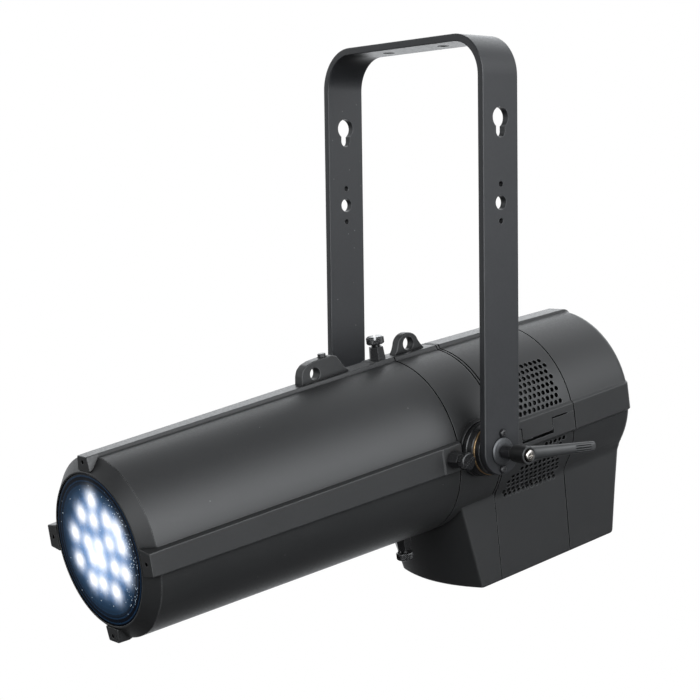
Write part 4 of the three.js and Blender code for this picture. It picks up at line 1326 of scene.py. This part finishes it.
def tube_shell():
    rings = [tube_ring(*station) for station in TUBE_STATIONS]
    angles = np.arctan2(rings[-1][:, 0], rings[-1][:, 2])
    for radius, y in TUBE_BORE:
        rings.append(np.stack([radius * np.sin(angles), np.full(len(angles), y),
                               radius * np.cos(angles)], 1))
    mesh = loft(rings, torus=True)
    mouth = tube_radius(TUBE_MOUTH)
    for angle in QUARTERS:
        pad = (11.4, mouth + 5.15) if angle in (90, 270) else (8.85, mouth + 2.5)
        mesh = join(mesh, mouth_pad(*pad).turn(angle))
    screw_hole = [(0, -420), (2.5, -420), (2.1, -416.4), (2.1, -408), (0, -408)]
    for angle in QUARTERS:
        mesh = cut(mesh, lathe(screw_hole, 32, "Y", (0, 0, PAD_RADIUS)).turn(angle))
    mesh = join(mesh, prism(soften(LUG, 1.6, 3), -6.2, 6.2, "X", bevel=1.0, steps=4))
    mesh = cut(mesh, eye_hole(8.4, 6.4, 5.4, 10, (0, -134.4, 107.2), soft=0.5))
    mesh = cut(mesh, cylinder(2.3, 100, 124, "Z", (0, LUG_BOLT_Y, 0), 24),
               cylinder(5.6, 120.3, 126, "Z", (0, LUG_BOLT_Y, 0)))
    for angle in QUARTERS:
        mesh = cut(mesh, cylinder(5.1, 80, 108, "Z", (0, LOCK_Y, 0)).turn(angle))
    return mesh


piece("tube_shell", tube_shell(), COAT, "lens_barrel", angle=30)
lug_bolt = join(prism(soften(hexagon(4.5, 0, LUG_BOLT_Y), 0.5, 2), 121.0, 125.2, "Z", bevel=0.5),
                cylinder(1.9, 104, 121.6, "Z", (0, LUG_BOLT_Y, 0), 20))
piece("lug_bolt", lug_bolt, SCREW, "eye_screw")

# ---- bezel and front glass: radius, y
BEZEL = [(76.35, -416.9), (77.7, -417.0), (78.3, -416.6), (91.45, -405.15), (91.3, -404.95),
         (86.5, -404.95), (84.5, -406.0), (76.35, -406.0)]
FRONT_GLASS = [
    (0, -416.98), (15, -416.96), (30, -416.9), (45, -416.8), (58, -416.65), (66, -416.5),
    (72.5, -416.35), (74.6, -416.25), (75.7, -416.0), (76.15, -415.4), (76.15, -408.4),
    (0, -408.2)]


def bezel_ring():
    """Conical ring, notched where the tube's pads stand."""
    mesh = lathe(BEZEL, 224, soft=0.16, steps=2)
    for angle in QUARTERS:
        half = 12.0 if angle in (90, 270) else 9.4
        notch = [(-half, 79.6), (half, 79.6), (half - 1.6, 96), (1.6 - half, 96)]
        mesh = cut(mesh, prism(notch, -420, -400, "Y").turn(angle))
    return mesh


piece("bezel_ring", bezel_ring(), COAT, "lens_bezel", angle=30)
for i, angle in enumerate(QUARTERS):
    screw = pan_head(1.9, 1.5, 0.0, "-Y", (0, -415.2, PAD_RADIUS))
    piece(f"bezel_screw_{i + 1}", screw.turn(angle), SCREW, body="lens_tube")
piece("front_glass", lathe(FRONT_GLASS, 224), GLASS, "front_lens", angle=40)

# ---- lock glands and plungers round the tube's rear end: radius, height
GLAND_BORE = [(0, 96), (5.1, 96), (5.1, 114.8), (5.9, 116.2), (0, 116.2)]
PLUNGER_PROFILE = [
    (0, 92.4), (4.6, 92.4), (4.6, 118.4), (8.2, 118.4), (9.2, 119.2), (9.4, 120.0),
    (9.4, 125.6), (8.9, 126.5), (8.0, 127), (0, 127)]
# place, angle from the top, turn of the plunger's slot
LOCKS = (("top", 0, 51), ("right", 90, 25), ("bottom", 180, 20), ("left", 270, 25))


def gland():
    post = prism(soften(hexagon(9.7, 30), 0.6, 2), 98.4, 115.6, "Z", bevel=0.6,
                 taper=lambda share: 1.0 - 0.15 * share)
    return cut(post, lathe(GLAND_BORE, 40, "Z"))


def knurl(angle, radius, along):
    return 0.28 * math.cos(36 * angle) if radius > 9.1 else 0


def plunger(slot_turn):
    cos, sin = math.cos(math.radians(slot_turn)), math.sin(math.radians(slot_turn))
    slot = [(x * cos - y * sin, x * sin + y * cos) for x, y in rect(1.25, -14, 14)]
    return cut(lathe(PLUNGER_PROFILE, 144, "Z", soft=0.3, ripple=knurl),
               prism(slot, 124.3, 130, "Z"))


for tag, angle, slot_turn in LOCKS:
    at = (0, LOCK_Y, 0)
    piece("gland_" + tag, gland().shift(at).turn(angle), BLACK_STEEL, "lock_gland_" + tag,
          angle=30)
    piece("plunger_" + tag, plunger(slot_turn).shift(at).turn(angle), PLUNGER,
          "lock_plunger_" + tag, angle=35)

# --------------------------------------------- finishes on the nodes that stay
BY_SLOT = {
    "coat": COAT, "black_metal": BLACK_STEEL, "black_plastic": PLASTIC, "steel": STEEL,
    "bronze": BRONZE, "lens": GLASS, "clear_lens": CLEAR, "rubber": RUBBER,
    "anodised": ANODISED, "raw_aluminium": ALUMINIUM, "led_white": LED, "board": BOARD,
    "display": DISPLAY}
for node, obj in frame["nodes"].items():
    if not obj.hide_render:
        obj.data.materials.clear()
        obj.data.materials.append(BY_SLOT[SLOT_OF[node]])

# ----------------------------------------------------------- floor and light
# soft light as seen from the object: direction, sharpness, strength
LOBES = [
    ((-0.209, 0.777, 0.594), 12.0, 2.43), ((0.830, 0.303, 0.469), 12.0, 4.55),
    ((-0.845, 0.349, 0.406), 12.0, 2.64), ((-0.844, -0.489, 0.219), 12.0, 1.4),
    ((0.965, -0.212, 0.156), 12.0, 6.7), ((-0.573, 0.814, 0.094), 12.0, 2.5),
    ((-0.045, 0.975, -0.219), 12.0, 0.44), ((-0.750, 0.522, -0.406), 12.0, 1.12),
    ((0.41, -0.84, 0.37), 30.0, 8.5)]
BASE_LIGHT = 0.008    # light from everywhere
TINT = (0.95, 0.975, 1.0)
FLOOR_HALF, FLOOR_Z = 30, -1.05       # metres


def stage_shader(g, ray, kind):
    """White to the camera; to everything else, the lobes of soft light."""
    total = None
    for direction, sharpness, strength in LOBES:
        facing = g.vector("DOT_PRODUCT", ray, Vector(direction).normalized())
        lobe = g.math("POWER", g.math("MAXIMUM", facing, 0.0), sharpness)
        summed = g.math("MULTIPLY_ADD", lobe, strength, BASE_LIGHT)
        if total is not None:
            g.link(total, summed.node.inputs[2])
        total = summed
    mix = g.node("ShaderNodeMixShader")
    g.link(g.node("ShaderNodeLightPath").outputs["Is Camera Ray"], mix.inputs[0])
    for index, color, strength in ((1, TINT, total), (2, (1, 1, 1), 1.0)):
        shader = g.node(kind)
        g.put(shader.inputs[0], color)
        g.put(shader.inputs[1], strength)
        g.link(shader.outputs[0], mix.inputs[index])
    g.link(mix.outputs[0], g.surface)


floor_data = bpy.data.meshes.new("studio_floor")
floor_corners = [(x, y, FLOOR_Z) for x, y in rect(FLOOR_HALF, -FLOOR_HALF, FLOOR_HALF)]
floor_data.from_pydata(floor_corners, [], [(0, 1, 2, 3)])
floor = bpy.data.objects.new("studio_floor", floor_data)
scene.collection.objects.link(floor)
pale = new_material("floor_pale")
incoming = pale.node("ShaderNodeNewGeometry").outputs["Incoming"]
stage_shader(pale, pale.vector("SCALE", incoming, scale=-1.0), "ShaderNodeEmission")
floor_data.materials.append(pale.owner)

scene.world = bpy.data.worlds.new("studio")
sky = Graph(scene.world, "ShaderNodeOutputWorld")
stage_shader(sky, sky.coords["Generated"], "ShaderNodeBackground")

# rectangular light on the right, towards the rear, aimed at the head
KEY_AT, KEY_TARGET = Vector((1.25, 0.75, -0.10)), Vector((0, -0.1, -0.42))
key_data = bpy.data.lights.new("key_right", "AREA")
key_data.shape = "RECTANGLE"
key_data.size = 0.8
key_data.size_y = 0.6
key_data.energy = 1.1
key_data.color = (0.93, 0.97, 1.0)
key = bpy.data.objects.new("key_right", key_data)
key.location = KEY_AT
key.rotation_mode = "QUATERNION"
key.rotation_quaternion = (KEY_TARGET - KEY_AT).to_track_quat("-Z", "Y")
scene.collection.objects.link(key)

# -------------------------------------------------------------------- camera
CAMERA_AT = (1.35994, -1.19055, -0.18222)
# the camera's right, up and backward directions
CAMERA_AXES = ((0.62729, 0.77866, -0.01387), (-0.05737, 0.06396, 0.99630),
               (0.77667, -0.62418, 0.08479))
camera_data = bpy.data.cameras.new("camera")
camera_data.sensor_width = 36.0
camera_data.lens = 84.10
camera_data.clip_start = 0.05
camera_data.clip_end = 60.0
camera = bpy.data.objects.new("camera", camera_data)
scene.collection.objects.link(camera)
pose = Matrix(CAMERA_AXES).transposed().to_4x4()
pose.translation = CAMERA_AT
camera.matrix_world = pose
scene.camera = camera
scene.view_settings.view_transform = "Standard"
scene.view_settings.look = "None"

bpy.context.view_layer.update()
